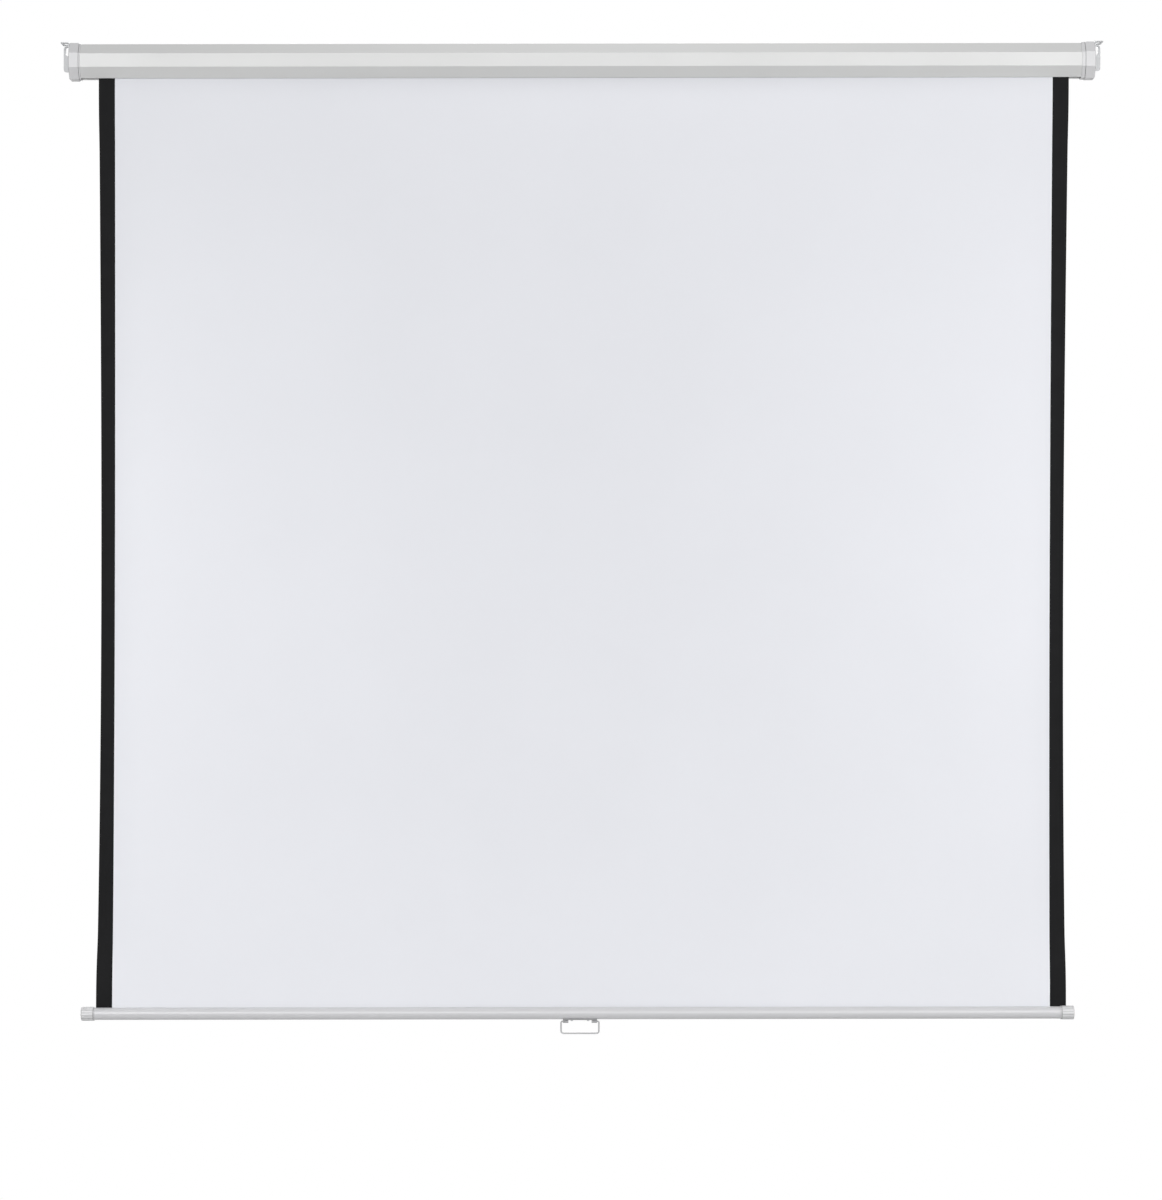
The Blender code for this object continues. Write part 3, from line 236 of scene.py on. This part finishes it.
class Look:
    """A node material under construction, with one Principled shader."""

    def __init__(self, name, colour, roughness, metallic=0.0, shine=0.5):
        self.material = bpy.data.materials.new(name)
        self.material.use_nodes = True
        self.tree = self.material.node_tree
        self.shader = self.tree.nodes["Principled BSDF"]
        self.shader.inputs["Base Color"].default_value = (*colour, 1.0)
        self.shader.inputs["Roughness"].default_value = roughness
        self.shader.inputs["Metallic"].default_value = metallic
        self.shader.inputs["Specular IOR Level"].default_value = shine
        self.colour = colour
        self.roughness = roughness
        self.place = self.tree.nodes.new("ShaderNodeTexCoord").outputs["Object"]
        self.normal = None

    def link(self, start, end):
        self.tree.links.new(start, end)

    def stretched(self, scale):
        """Object coordinates scaled along each axis."""
        node = self.tree.nodes.new("ShaderNodeMapping")
        node.inputs["Scale"].default_value = scale
        self.link(self.place, node.inputs["Vector"])
        return node.outputs["Vector"]

    def parted(self):
        """Object coordinates as three values."""
        node = self.tree.nodes.new("ShaderNodeSeparateXYZ")
        self.link(self.place, node.inputs["Vector"])
        return node.outputs

    def noise(self, scale, detail=3.0, where=None):
        node = self.tree.nodes.new("ShaderNodeTexNoise")
        node.inputs["Scale"].default_value = scale
        node.inputs["Detail"].default_value = detail
        self.link(where or self.place, node.inputs["Vector"])
        return node.outputs["Fac"]

    def wave(self, scale, direction, distortion):
        node = self.tree.nodes.new("ShaderNodeTexWave")
        node.bands_direction = direction
        node.inputs["Scale"].default_value = scale
        node.inputs["Distortion"].default_value = distortion
        self.link(self.place, node.inputs["Vector"])
        return node.outputs["Fac"]

    def worked(self, operation, value, other=None):
        return worked(self.tree, operation, value, other)

    def ranged(self, value, low, high, new_low, new_high):
        """A value taken from one range to another, and held inside it."""
        node = self.tree.nodes.new("ShaderNodeMapRange")
        node.inputs["From Min"].default_value = low
        node.inputs["From Max"].default_value = high
        node.inputs["To Min"].default_value = new_low
        node.inputs["To Max"].default_value = new_high
        self.link(value, node.inputs["Value"])
        return node.outputs["Result"]

    def from_noise(self, value, low, high):
        """A noise's values spread over a range."""
        return self.ranged(value, NOISE_LOW, NOISE_HIGH, low, high)

    def mixed(self, share, first, second):
        """Base colour that runs with a share from a colour, or a node's colour, to a second colour."""
        node = self.tree.nodes.new("ShaderNodeMix")
        node.data_type = "RGBA"
        self.link(share, node.inputs[MIX_SHARE])
        if isinstance(first, bpy.types.NodeSocket):
            self.link(first, node.inputs[MIX_FIRST])
        else:
            node.inputs[MIX_FIRST].default_value = (*first, 1.0)
        node.inputs[MIX_SECOND].default_value = (*second, 1.0)
        self.link(node.outputs[MIX_RESULT], self.shader.inputs["Base Color"])
        return node.outputs[MIX_RESULT]

    def tinted(self, scale, spread, detail=3.0):
        """The look's own colour, a little lighter and darker over the surface."""
        share = self.from_noise(self.noise(scale, detail), 0.0, 1.0)
        dark = [part * (1.0 - spread) for part in self.colour]
        light = [min(1.0, part * (1.0 + spread)) for part in self.colour]
        return self.mixed(share, dark, light)

    def shade_in_grooves(self, places, half_width):
        """Share of painted shade in the grooves at these places along the screen."""
        along = self.parted()["X"]
        start = half_width * GROOVE_SHADE_FADES
        end = half_width * GROOVE_SHADE_ENDS
        near = None
        for place in places:
            distance = self.worked("ABSOLUTE", self.worked("SUBTRACT", along, place))
            share = self.ranged(distance, start, end, GROOVE_SHADE_DARKNESS, 0.0)
            near = share if near is None else self.worked("MAXIMUM", near, share)
        return near

    def shade_in_flutes(self, middle_y, middle_z, bottom):
        """Share of painted shade at the bottom of flutes round a line along the screen, at a radius
        from it.
        """
        parts = self.parted()
        along_y = self.worked("SUBTRACT", parts["Y"], middle_y)
        along_z = self.worked("SUBTRACT", parts["Z"], middle_z)
        square_y = self.worked("MULTIPLY", along_y, along_y)
        square_z = self.worked("MULTIPLY", along_z, along_z)
        radius = self.worked("SQRT", self.worked("ADD", square_y, square_z))
        distance = self.worked("ABSOLUTE", self.worked("SUBTRACT", radius, bottom))
        start = FLUTE_DEPTH * FLUTE_SHADE_FADES
        end = FLUTE_DEPTH * FLUTE_SHADE_ENDS
        return self.ranged(distance, start, end, FLUTE_SHADE_DARKNESS, 0.0)

    def with_painted_shade(self, colour, near):
        """Painted shade that darkens a node's colour by a share, unevenly over the surface."""
        patchy = self.from_noise(self.noise(scale=140.0), PALEST_SHADE_PATCH, 1.0)
        self.mixed(self.worked("MULTIPLY", near, patchy), colour, GROOVE_PAINTED_SHADE)

    def rough_from(self, value, less, more):
        """Roughness that a noise's values move between a little less and a little more."""
        rough = self.from_noise(value, self.roughness - less, self.roughness + more)
        self.link(rough, self.shader.inputs["Roughness"])

    def bumped(self, height, distance, strength):
        """Relief from a value, on top of what the look has already."""
        node = self.tree.nodes.new("ShaderNodeBump")
        node.inputs["Distance"].default_value = distance
        node.inputs["Strength"].default_value = strength
        self.link(height, node.inputs["Height"])
        if self.normal is not None:
            self.link(self.normal, node.inputs["Normal"])
        self.normal = node.outputs["Normal"]
        self.link(self.normal, self.shader.inputs["Normal"])


def stove_enamel(name, colour, roughness, shine=0.5):
    """Baked paint on steel: faint orange peel and a slightly uneven sheen."""
    look = Look(name, colour, roughness, shine=shine)
    look.tinted(scale=7.0, spread=0.008)
    peel = look.noise(scale=420.0, detail=1.0)
    look.rough_from(look.noise(scale=9.0), less=0.02, more=0.02)
    look.bumped(peel, distance=0.00002, strength=0.15)
    return look.material


def moulded_plastic(name, grooves, groove_half, fluted=None):
    """White cap with the fine grain of a spark-eroded mould, and painted shade in its grooves and
    flutes.
    """
    look = Look(name, CAP_WHITE, roughness=0.34)
    near = look.shade_in_grooves(grooves, groove_half)
    if fluted:
        low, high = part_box(fluted)
        bottom = (high[2] - low[2]) / 2.0 - FLUTE_DEPTH
        flutes = look.shade_in_flutes((low[1] + high[1]) / 2.0, (low[2] + high[2]) / 2.0, bottom)
        near = look.worked("MAXIMUM", near, flutes)
    look.with_painted_shade(look.tinted(scale=40.0, spread=0.015), near)
    grain = look.noise(scale=1500.0, detail=2.0)
    look.rough_from(look.noise(scale=90.0), less=0.03, more=0.04)
    look.bumped(grain, distance=0.00003, strength=0.4)
    return look.material


def plated_steel(name, colour, roughness):
    """Plated or drawn steel with faint streaks along the screen and dull patches."""
    look = Look(name, colour, roughness, metallic=1.0)
    streaks = look.noise(scale=1.0, detail=4.0, where=look.stretched(STREAK_SCALE))
    look.rough_from(streaks, less=0.08, more=0.12)
    look.tinted(scale=120.0, spread=0.05)
    look.bumped(streaks, distance=0.00002, strength=0.5)
    return look.material


def natural_nylon():
    """Waxy, slightly mottled."""
    look = Look("natural_nylon", NATURAL_NYLON, roughness=0.45)
    look.tinted(scale=200.0, spread=0.03)
    look.bumped(look.noise(scale=900.0, detail=2.0), distance=0.00003, strength=0.5)
    look.shader.inputs["Subsurface Weight"].default_value = 0.08
    look.shader.inputs["Subsurface Radius"].default_value = (0.002, 0.002, 0.0015)
    return look.material


def weave_height(look, pitch):
    """Plain weave of a coated cloth: two crossing sets of threads, a little uneven."""
    scale = 2.0 * math.pi / pitch / WAVE_RATE
    across = look.wave(scale, "X", distortion=0.6)
    along = look.wave(scale, "Z", distortion=0.6)
    return look.worked("MULTIPLY", across, along)


def screen_white():
    """Matt projection surface: a fine embossed grain over a weave that just shows."""
    look = Look("screen_white", WHITE_VINYL, roughness=0.88, shine=0.25)
    look.tinted(scale=3.5, spread=0.008, detail=4.0)
    look.bumped(weave_height(look, pitch=0.0009), distance=0.00003, strength=0.6)
    look.bumped(look.noise(scale=2600.0, detail=2.0), distance=0.00003, strength=0.6)
    return look.material


def printed_black():
    """Black border printed on the cloth, a little glossier than the white."""
    look = Look("printed_black", BORDER_BLACK, roughness=0.62, shine=0.10)
    look.tinted(scale=30.0, spread=0.15)
    look.bumped(weave_height(look, pitch=0.0009), distance=0.00003, strength=0.7)
    look.bumped(look.noise(scale=1900.0, detail=2.0), distance=0.00003, strength=0.6)
    return look.material


def black_backing():
    """Black coating on the back, which keeps light from passing through."""
    look = Look("black_backing", BACK_BLACK, roughness=0.75)
    look.tinted(scale=12.0, spread=0.06)
    look.bumped(weave_height(look, pitch=0.0012), distance=0.00005, strength=0.9)
    look.rough_from(look.noise(scale=8.0), less=0.02, more=0.03)
    return look.material


# The cloth

def curl_at(z):
    """Angle that the cloth's side strips curl back by at a height: none at the case or the bar."""
    if z >= CASE_BOTTOM or z <= BAR_TOP:
        return 0.0
    share = (CASE_BOTTOM - z) / (CASE_BOTTOM - BAR_TOP)
    onset = eased(min(CASE_BOTTOM - z, z - BAR_TOP) / CURL_ONSET)
    return onset * CURL_ANGLE * math.sin(math.pi * share ** CURL_SAG) ** CURL_SHARPNESS


def shift_at(z):
    """How far the cloth hangs to the right of the case's middle at a height."""
    return TOP_SHIFT + (LOW_SHIFT - TOP_SHIFT) * z / BAR_TOP


def cloth_point(across, z, offset):
    """A point of the hanging cloth, offset towards its back from the middle of its thickness."""
    flat = FABRIC_WIDTH / 2 - CURL_ZONE
    over = abs(across) - flat
    turn = curl_at(z)
    if over <= 0.0 or turn < LEAST_TURN:
        return (across + shift_at(z), FABRIC_Y + offset, z)
    radius = CURL_ZONE / turn
    angle = over / radius
    x = flat + (radius - offset) * math.sin(angle)
    y = FABRIC_Y + radius - (radius - offset) * math.cos(angle)
    return (math.copysign(x, across) + shift_at(z), y, z)


def cloth_stations():
    """Distances across the cloth, close together where it curls and at each border's edge."""
    half = FABRIC_WIDTH / 2
    flat = half - CURL_ZONE
    inner = half - BORDER_WIDTH
    right = spaced(0.0, flat, FLAT_STEPS)
    right += spaced(flat, inner, CURL_STEPS)
    right += spaced(inner, half, BORDER_STEPS)
    return [-place for place in reversed(right)] + [0.0] + right


def cloth_heights():
    """Heights of the cloth's rows, close together near the case and the bar, where the curl begins."""
    heights = [0.0, CASE_BOTTOM / 2]
    for step in range(HEIGHT_STEPS + 1):
        share = 0.5 - 0.5 * math.cos(math.pi * step / HEIGHT_STEPS)
        heights.append(CASE_BOTTOM + (BAR_TOP - CASE_BOTTOM) * share)
    heights.append(FABRIC_BOTTOM)
    return heights


def column_finishes(stations):
    """The finish of each column of faces on the cloth's front: its white or its black border."""
    edge = FABRIC_WIDTH / 2 - BORDER_WIDTH
    middles = [abs(here + there) / 2 for here, there in zip(stations, stations[1:])]
    return [BLACK_BORDER if middle > edge else WHITE_SIDE for middle in middles]


def cloth_shell(name, front, back, stations, finishes):
    """A closed thin sheet between rows of points on its front and back, with the cloth's finishes."""
    rows = len(front)
    columns = len(stations)
    points = [point for row in front + back for point in row]
    under = rows * columns
    front_finishes = column_finishes(stations)
    faces = []
    places = []
    for row in range(rows - 1):
        for column in range(columns - 1):
            a = row * columns + column
            b = a + 1
            c = a + columns + 1
            d = a + columns
            faces.append((a, d, c, b))
            places.append(front_finishes[column])
            faces.append((under + a, under + b, under + c, under + d))
            places.append(BLACK_BACK)
    rim = list(range(columns))
    rim += [row * columns + columns - 1 for row in range(1, rows)]
    rim += [(rows - 1) * columns + column for column in range(columns - 2, -1, -1)]
    rim += [row * columns for row in range(rows - 2, 0, -1)]
    for start, end in zip(rim, rim[1:] + rim[:1]):
        faces.append((start, end, under + end, under + start))
        places.append(BLACK_BORDER)
    made = placed(name, new_mesh(name, points, faces))
    for finish in finishes:
        made.data.materials.append(finish)
    for face, place in zip(made.data.polygons, places):
        face.material_index = place
    mark_smooth(made, CLOTH_SHARP)
    return made


def hanging_cloth(finishes):
    """The cloth from the roller's axis height down to its hem in the bar."""
    stations = cloth_stations()
    heights = cloth_heights()
    half = FABRIC_THICKNESS / 2
    front = [[cloth_point(across, z, -half) for across in stations] for z in heights]
    back = [[cloth_point(across, z, half) for across in stations] for z in heights]
    made = cloth_shell("screen_cloth", front, back, stations, finishes)
    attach(made, "housing")
    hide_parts("screen_fabric")
    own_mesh(made)


def wound_row(stations, radius, angle):
    """A row of points along the roller, at a radius and an angle round its axis."""
    y = ROLLER_Y + radius * math.cos(angle)
    z = radius * math.sin(angle)
    return [(across + TOP_SHIFT, y, z) for across in stations]


def wound_cloth(finishes):
    """The turns left on the roller: white outwards, black inwards, with their borders at both ends."""
    stations = cloth_stations()
    whole = WRAP_TURNS * 2.0 * math.pi
    inner = []
    outer = []
    for step in range(WOUND_STEPS + 1):
        turn = whole * step / WOUND_STEPS
        radius = WRAP_INNER + WRAP_PITCH * turn / (2.0 * math.pi)
        angle = math.pi - whole + turn
        inner.append(wound_row(stations, radius, angle))
        outer.append(wound_row(stations, radius + FABRIC_THICKNESS, angle))
    made = cloth_shell("wound_cloth", outer, inner, stations, finishes)
    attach(made, "roller")
    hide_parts("fabric_wraps")


# Screws

def ring_loft(name, rings):
    """A closed mesh through rings of points, with a flat face at each end."""
    count = len(rings[0])
    points = [point for ring in rings for point in ring]
    faces = [tuple(reversed(range(count)))]
    for level in range(len(rings) - 1):
        for step in range(count):
            a = level * count + step
            b = level * count + (step + 1) % count
            faces.append((a, b, b + count, a + count))
    faces.append(tuple(range(len(points) - count, len(points))))
    return new_mesh(name, points, faces)


def screw_blank(shank, head):
    """Pan-head screw without its recess: the head's underside at z 0, the shank below it."""
    radius, length = shank
    head_radius, head_height = head
    tip = (-length, radius * TIP_SHARE)
    profile = [tip, (-length + radius, radius), (0.0, radius), (0.0, head_radius)]
    for step in range(1, DOME_STEPS + 1):
        turn = DOME_TURN * step / DOME_STEPS
        height = head_height * math.sin(turn) / math.sin(DOME_TURN)
        profile.append((height, head_radius * math.cos(turn)))
    angles = [2.0 * math.pi * step / SCREW_SIDES for step in range(SCREW_SIDES)]
    rings = []
    for z, size in profile:
        rings.append([(size * math.cos(angle), size * math.sin(angle), z) for angle in angles])
    return ring_loft("screw_blank", rings)


def cross_tool(head):
    """A tapered cross that cuts the driver's recess into a head."""
    head_radius, head_height = head
    reach = head_radius * RECESS_REACH
    half_slot = head_radius * RECESS_HALF_SLOT
    corners = []
    for turn in range(4):
        angle = turn * math.pi / 2.0
        for along, across in ((reach, -half_slot), (reach, half_slot), (half_slot, half_slot)):
            x = along * math.cos(angle) - across * math.sin(angle)
            y = along * math.sin(angle) + across * math.cos(angle)
            corners.append((x, y))
    floor = head_height * RECESS_FLOOR
    top = head_height * RECESS_TOP
    low = [(x * RECESS_TAPER, y * RECESS_TAPER, floor) for x, y in corners]
    high = [(x, y, top) for x, y in corners]
    return ring_loft("cross_tool", [low, high])


def cut_recess(made, head):
    """Cuts the driver's cross into a screw's head, and applies the cut."""
    tool = placed("cross_tool", cross_tool(head))
    cut = made.modifiers.new("recess", "BOOLEAN")
    cut.operation = "DIFFERENCE"
    cut.solver = "EXACT"
    cut.object = tool
    bpy.context.view_layer.update()
    evaluated = made.evaluated_get(bpy.context.evaluated_depsgraph_get())
    mesh = bpy.data.meshes.new_from_object(evaluated)
    made.modifiers.clear()
    made.data = mesh
    bpy.data.objects.remove(tool)


def seated(node, outward, spin, head_height):
    """Where a node's screw stands: its head at the outward end, turned by an angle."""
    low, high = (Vector(corner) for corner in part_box(node))
    way = Vector(outward)
    middle = (low + high) / 2.0
    extent = abs((high - low).dot(way))
    seat = middle + way * (extent / 2.0 - head_height)
    turn = way.to_track_quat("Z", "Y").to_matrix() @ Matrix.Rotation(spin, 3, "Z")
    return Matrix.Translation(seat) @ turn.to_4x4()


def cross_screw(node, body, outward, spin, shank, head, finish):
    """A screw with a cross recess that stands for a node's plain one."""
    made = placed(f"{node}_recessed", screw_blank(shank, head))
    cut_recess(made, head)
    made.data.transform(seated(node, outward, spin, head[1]))
    made.data.materials.clear()
    made.data.materials.append(finish)
    mark_smooth(made, SCREW_SHARP)
    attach(made, body)
    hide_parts(node)


def recessed_screws(finish):
    """The six screws at the case's ends and the two under the bar, each stopped at its own angle."""
    shanks = {
        "cap_screw_upper": CASE_SCREW_SHANK,
        "cap_screw_lower": CASE_SCREW_SHANK,
        "bracket_screw": BRACKET_SCREW_SHANK,
    }
    spin = FIRST_SPIN
    for side, way in (("left", -1.0), ("right", 1.0)):
        outward = (way, 0.0, 0.0)
        for stem, shank in shanks.items():
            cross_screw(f"{stem}_{side}", "housing", outward, spin, shank, CASE_SCREW_HEAD, finish)
            spin += SPIN_STEP
        down = (0.0, 0.0, -1.0)
        shank = HANDLE_SCREW_SHANK
        cross_screw(f"handle_screw_{side}", "bar", down, spin, shank, HANDLE_SCREW_HEAD, finish)
        spin += SPIN_STEP


# Finishes for the rigid nodes

def give(node, finish):
    """Puts one finish in all of a node's material slots."""
    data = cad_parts[node].data
    for place in range(len(data.materials)):
        data.materials[place] = finish


def edged(node, width):
    """Softens a node's edges as paint or moulding does, without changing its mesh."""
    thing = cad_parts[node]
    weld = thing.modifiers.new("join_faces", "WELD")
    weld.merge_threshold = WELD_DISTANCE
    flat = thing.modifiers.new("merge_flats", "DECIMATE")
    flat.decimate_type = "DISSOLVE"
    flat.angle_limit = FLAT_LIMIT
    bevel = thing.modifiers.new("soft_edges", "BEVEL")
    bevel.width = width
    bevel.segments = EDGE_SEGMENTS
    bevel.limit_method = "ANGLE"
    bevel.angle_limit = EDGE_LIMIT
    bevel.use_clamp_overlap = True
    even = thing.modifiers.new("even_shading", "WEIGHTED_NORMAL")
    even.keep_sharp = False


def dress_outside():
    """Case, brackets, caps, bar and handle."""
    case = stove_enamel("case_enamel", ENAMEL, roughness=0.30)
    bracket = stove_enamel("bracket_enamel", BRACKET_WHITE, roughness=0.45)
    bar = stove_enamel("bar_enamel", BAR_WHITE, roughness=0.33, shine=1.0)
    cap = moulded_plastic("cap_plastic", CAP_GROOVES, CAP_GROOVE_HALF)
    bar_cap = moulded_plastic(
        "bar_cap_plastic", BAR_CAP_GROOVES, BAR_CAP_GROOVE_HALF, fluted="bar_cap_left")
    wire = stove_enamel("wire_enamel", WIRE_GREY, roughness=0.40)
    # The handle bracket's darker grey is painted shade on its knuckles.
    knuckle = stove_enamel("knuckle_painted_shade_enamel", KNUCKLE_PAINTED_SHADE_GREY, roughness=0.40)
    give("housing_case", case)
    edged("housing_case", CASE_EDGE)
    for side in ("left", "right"):
        give(f"end_cap_{side}", cap)
        give(f"bar_cap_{side}", bar_cap)
        give(f"mount_bracket_{side}", bracket)
        edged(f"mount_bracket_{side}", BRACKET_EDGE)
    give("bottom_bar", bar)
    give("handle_bracket", knuckle)
    give("pull_handle", wire)


def dress_inside():
    """Roller, spindle, ratchet, spring, idler end and spline, and all the screws."""
    zinc = plated_steel("zinc_steel", ZINC, roughness=0.32)
    spring = plated_steel("spring_steel", SPRING_GREY, roughness=0.28)
    nylon = natural_nylon()
    for node in ("roller_tube", "spindle", "spring_collar", "idler_pin"):
        give(node, zinc)
    for node in ("ratchet_hub", "ratchet_head", "pawl_a", "pawl_b", "pawl_pin_a", "pawl_pin_b"):
        give(node, zinc)
    give("torsion_spring", spring)
    for node in ("spring_anchor", "idler_plug", "idler_bush", "hem_spline"):
        give(node, nylon)
    recessed_screws(zinc)


# Studio

def seen_directly(tree):
    """One for the camera, a reflection and a clear material, and none for the light on the object."""
    path = tree.nodes.new("ShaderNodeLightPath").outputs
    either = worked(tree, "MAXIMUM", path["Is Camera Ray"], path["Is Glossy Ray"])
    return worked(tree, "MAXIMUM", either, path["Is Transmission Ray"])


def studio_world():
    """White where it is seen directly, and soft light from above on the object."""
    world = bpy.data.worlds.new("studio")
    bpy.context.scene.world = world
    world.use_nodes = True
    tree = world.node_tree
    output = tree.nodes["World Output"]
    ambient = tree.nodes["Background"]
    ambient.inputs["Color"].default_value = (1.0, 1.0, 1.0, 1.0)
    direction = tree.nodes.new("ShaderNodeTexCoord")
    parts = tree.nodes.new("ShaderNodeSeparateXYZ")
    tree.links.new(direction.outputs["Generated"], parts.inputs["Vector"])
    rise = tree.nodes.new("ShaderNodeMapRange")
    rise.inputs["From Min"].default_value = -HORIZON_BAND
    rise.inputs["From Max"].default_value = HORIZON_BAND
    rise.inputs["To Min"].default_value = AMBIENT_LOW
    rise.inputs["To Max"].default_value = AMBIENT_HIGH
    tree.links.new(parts.outputs["Z"], rise.inputs["Value"])
    tree.links.new(rise.outputs["Result"], ambient.inputs["Strength"])
    white = tree.nodes.new("ShaderNodeBackground")
    white.inputs["Color"].default_value = (1.0, 1.0, 1.0, 1.0)
    white.inputs["Strength"].default_value = 1.0
    mix = tree.nodes.new("ShaderNodeMixShader")
    tree.links.new(seen_directly(tree), mix.inputs["Fac"])
    tree.links.new(ambient.outputs["Background"], mix.inputs[1])
    tree.links.new(white.outputs["Background"], mix.inputs[2])
    tree.links.new(mix.outputs["Shader"], output.inputs["Surface"])


def floor_finish():
    """Pale grey in light and shadow; where it is seen directly, white is mixed in, more so far out."""
    look = Look("studio_floor", FLOOR_GREY, roughness=0.8)
    look.tinted(scale=3.0, spread=0.01)
    nodes = look.tree.nodes
    distance = nodes.new("ShaderNodeVectorMath")
    distance.operation = "LENGTH"
    look.link(look.stretched(PLAN_SCALE), distance.inputs[0])
    fade = look.ranged(distance.outputs["Value"], FADE_START, FADE_END, LEAST_WHITE, 1.0)
    white = nodes.new("ShaderNodeEmission")
    white.inputs["Strength"].default_value = 1.0
    mix = nodes.new("ShaderNodeMixShader")
    look.link(look.worked("MULTIPLY", fade, seen_directly(look.tree)), mix.inputs["Fac"])
    look.link(look.shader.outputs["BSDF"], mix.inputs[1])
    look.link(white.outputs["Emission"], mix.inputs[2])
    look.link(mix.outputs["Shader"], nodes["Material Output"].inputs["Surface"])
    return look.material


def studio_floor():
    """A pale round floor under the screen, which keeps the object's shadow."""
    points = [(0.0, 0.0, FLOOR_Z)]
    for step in range(FLOOR_SIDES):
        angle = 2.0 * math.pi * step / FLOOR_SIDES
        points.append((FLOOR_RADIUS * math.cos(angle), FLOOR_RADIUS * math.sin(angle), FLOOR_Z))
    faces = [(0, 1 + step, 1 + (step + 1) % FLOOR_SIDES) for step in range(FLOOR_SIDES)]
    floor = placed("studio_floor", new_mesh("floor", points, faces))
    floor.data.materials.append(floor_finish())


def soft_box(name, place, target, size, power):
    """A broad lamp that faces a point and that the camera doesn't see."""
    lamp = bpy.data.lights.new(name, "AREA")
    lamp.shape = "RECTANGLE"
    lamp.size, lamp.size_y = size
    lamp.energy = power
    box = placed(name, lamp)
    box.location = place
    away = Vector(place) - Vector(target)
    box.rotation_euler = away.to_track_quat("Z", "Y").to_euler()
    box.visible_camera = False


def studio_lamps():
    """Two boxes at the left and one at the right, three by the camera, one above and one behind."""
    middle = (0.0, 0.0, -0.9)
    soft_box("left_box", (-2.3, -2.4, -1.1), (0.0, 0.0, -1.0), size=(1.0, 1.4), power=12.2)
    soft_box("near_left_box", (-1.7, -1.2, -0.95), (-0.7, 0.0, -0.95), size=(0.5, 0.8), power=6.0)
    soft_box("right_box", (1.95, -1.7, -0.85), (0.5, 0.0, -0.85), size=(0.6, 1.0), power=18.7)
    soft_box("front_left_box", (-2.0, -6.8, 1.0), middle, size=(1.4, 1.2), power=76.4)
    soft_box("front_right_box", (2.0, -6.8, 1.0), middle, size=(1.4, 1.2), power=78.2)
    soft_box("front_box", (0.0, -7.2, 1.1), middle, size=(1.4, 1.0), power=44.2)
    soft_box("top_box", (0.1, -0.5, 0.9), (0.1, 0.0, 0.0), size=(1.2, 0.3), power=2.9)
    soft_box("back_box", (0.0, 4.5, 0.8), middle, size=(2.5, 2.0), power=90.0)


def studio_camera():
    data = bpy.data.cameras.new("camera")
    data.sensor_width = SENSOR
    data.lens = LENS
    data.clip_end = FARTHEST
    camera = placed("camera", data)
    camera.location = CAMERA
    camera.rotation_euler = (math.pi / 2.0, CAMERA_ROLL, 0.0)
    bpy.context.scene.camera = camera


studio_camera()
studio_world()
studio_floor()
studio_lamps()
cloth_finishes = [screen_white(), printed_black(), black_backing()]
hanging_cloth(cloth_finishes)
wound_cloth(cloth_finishes)
dress_outside()
dress_inside()
bpy.context.scene.view_settings.view_transform = "Standard"
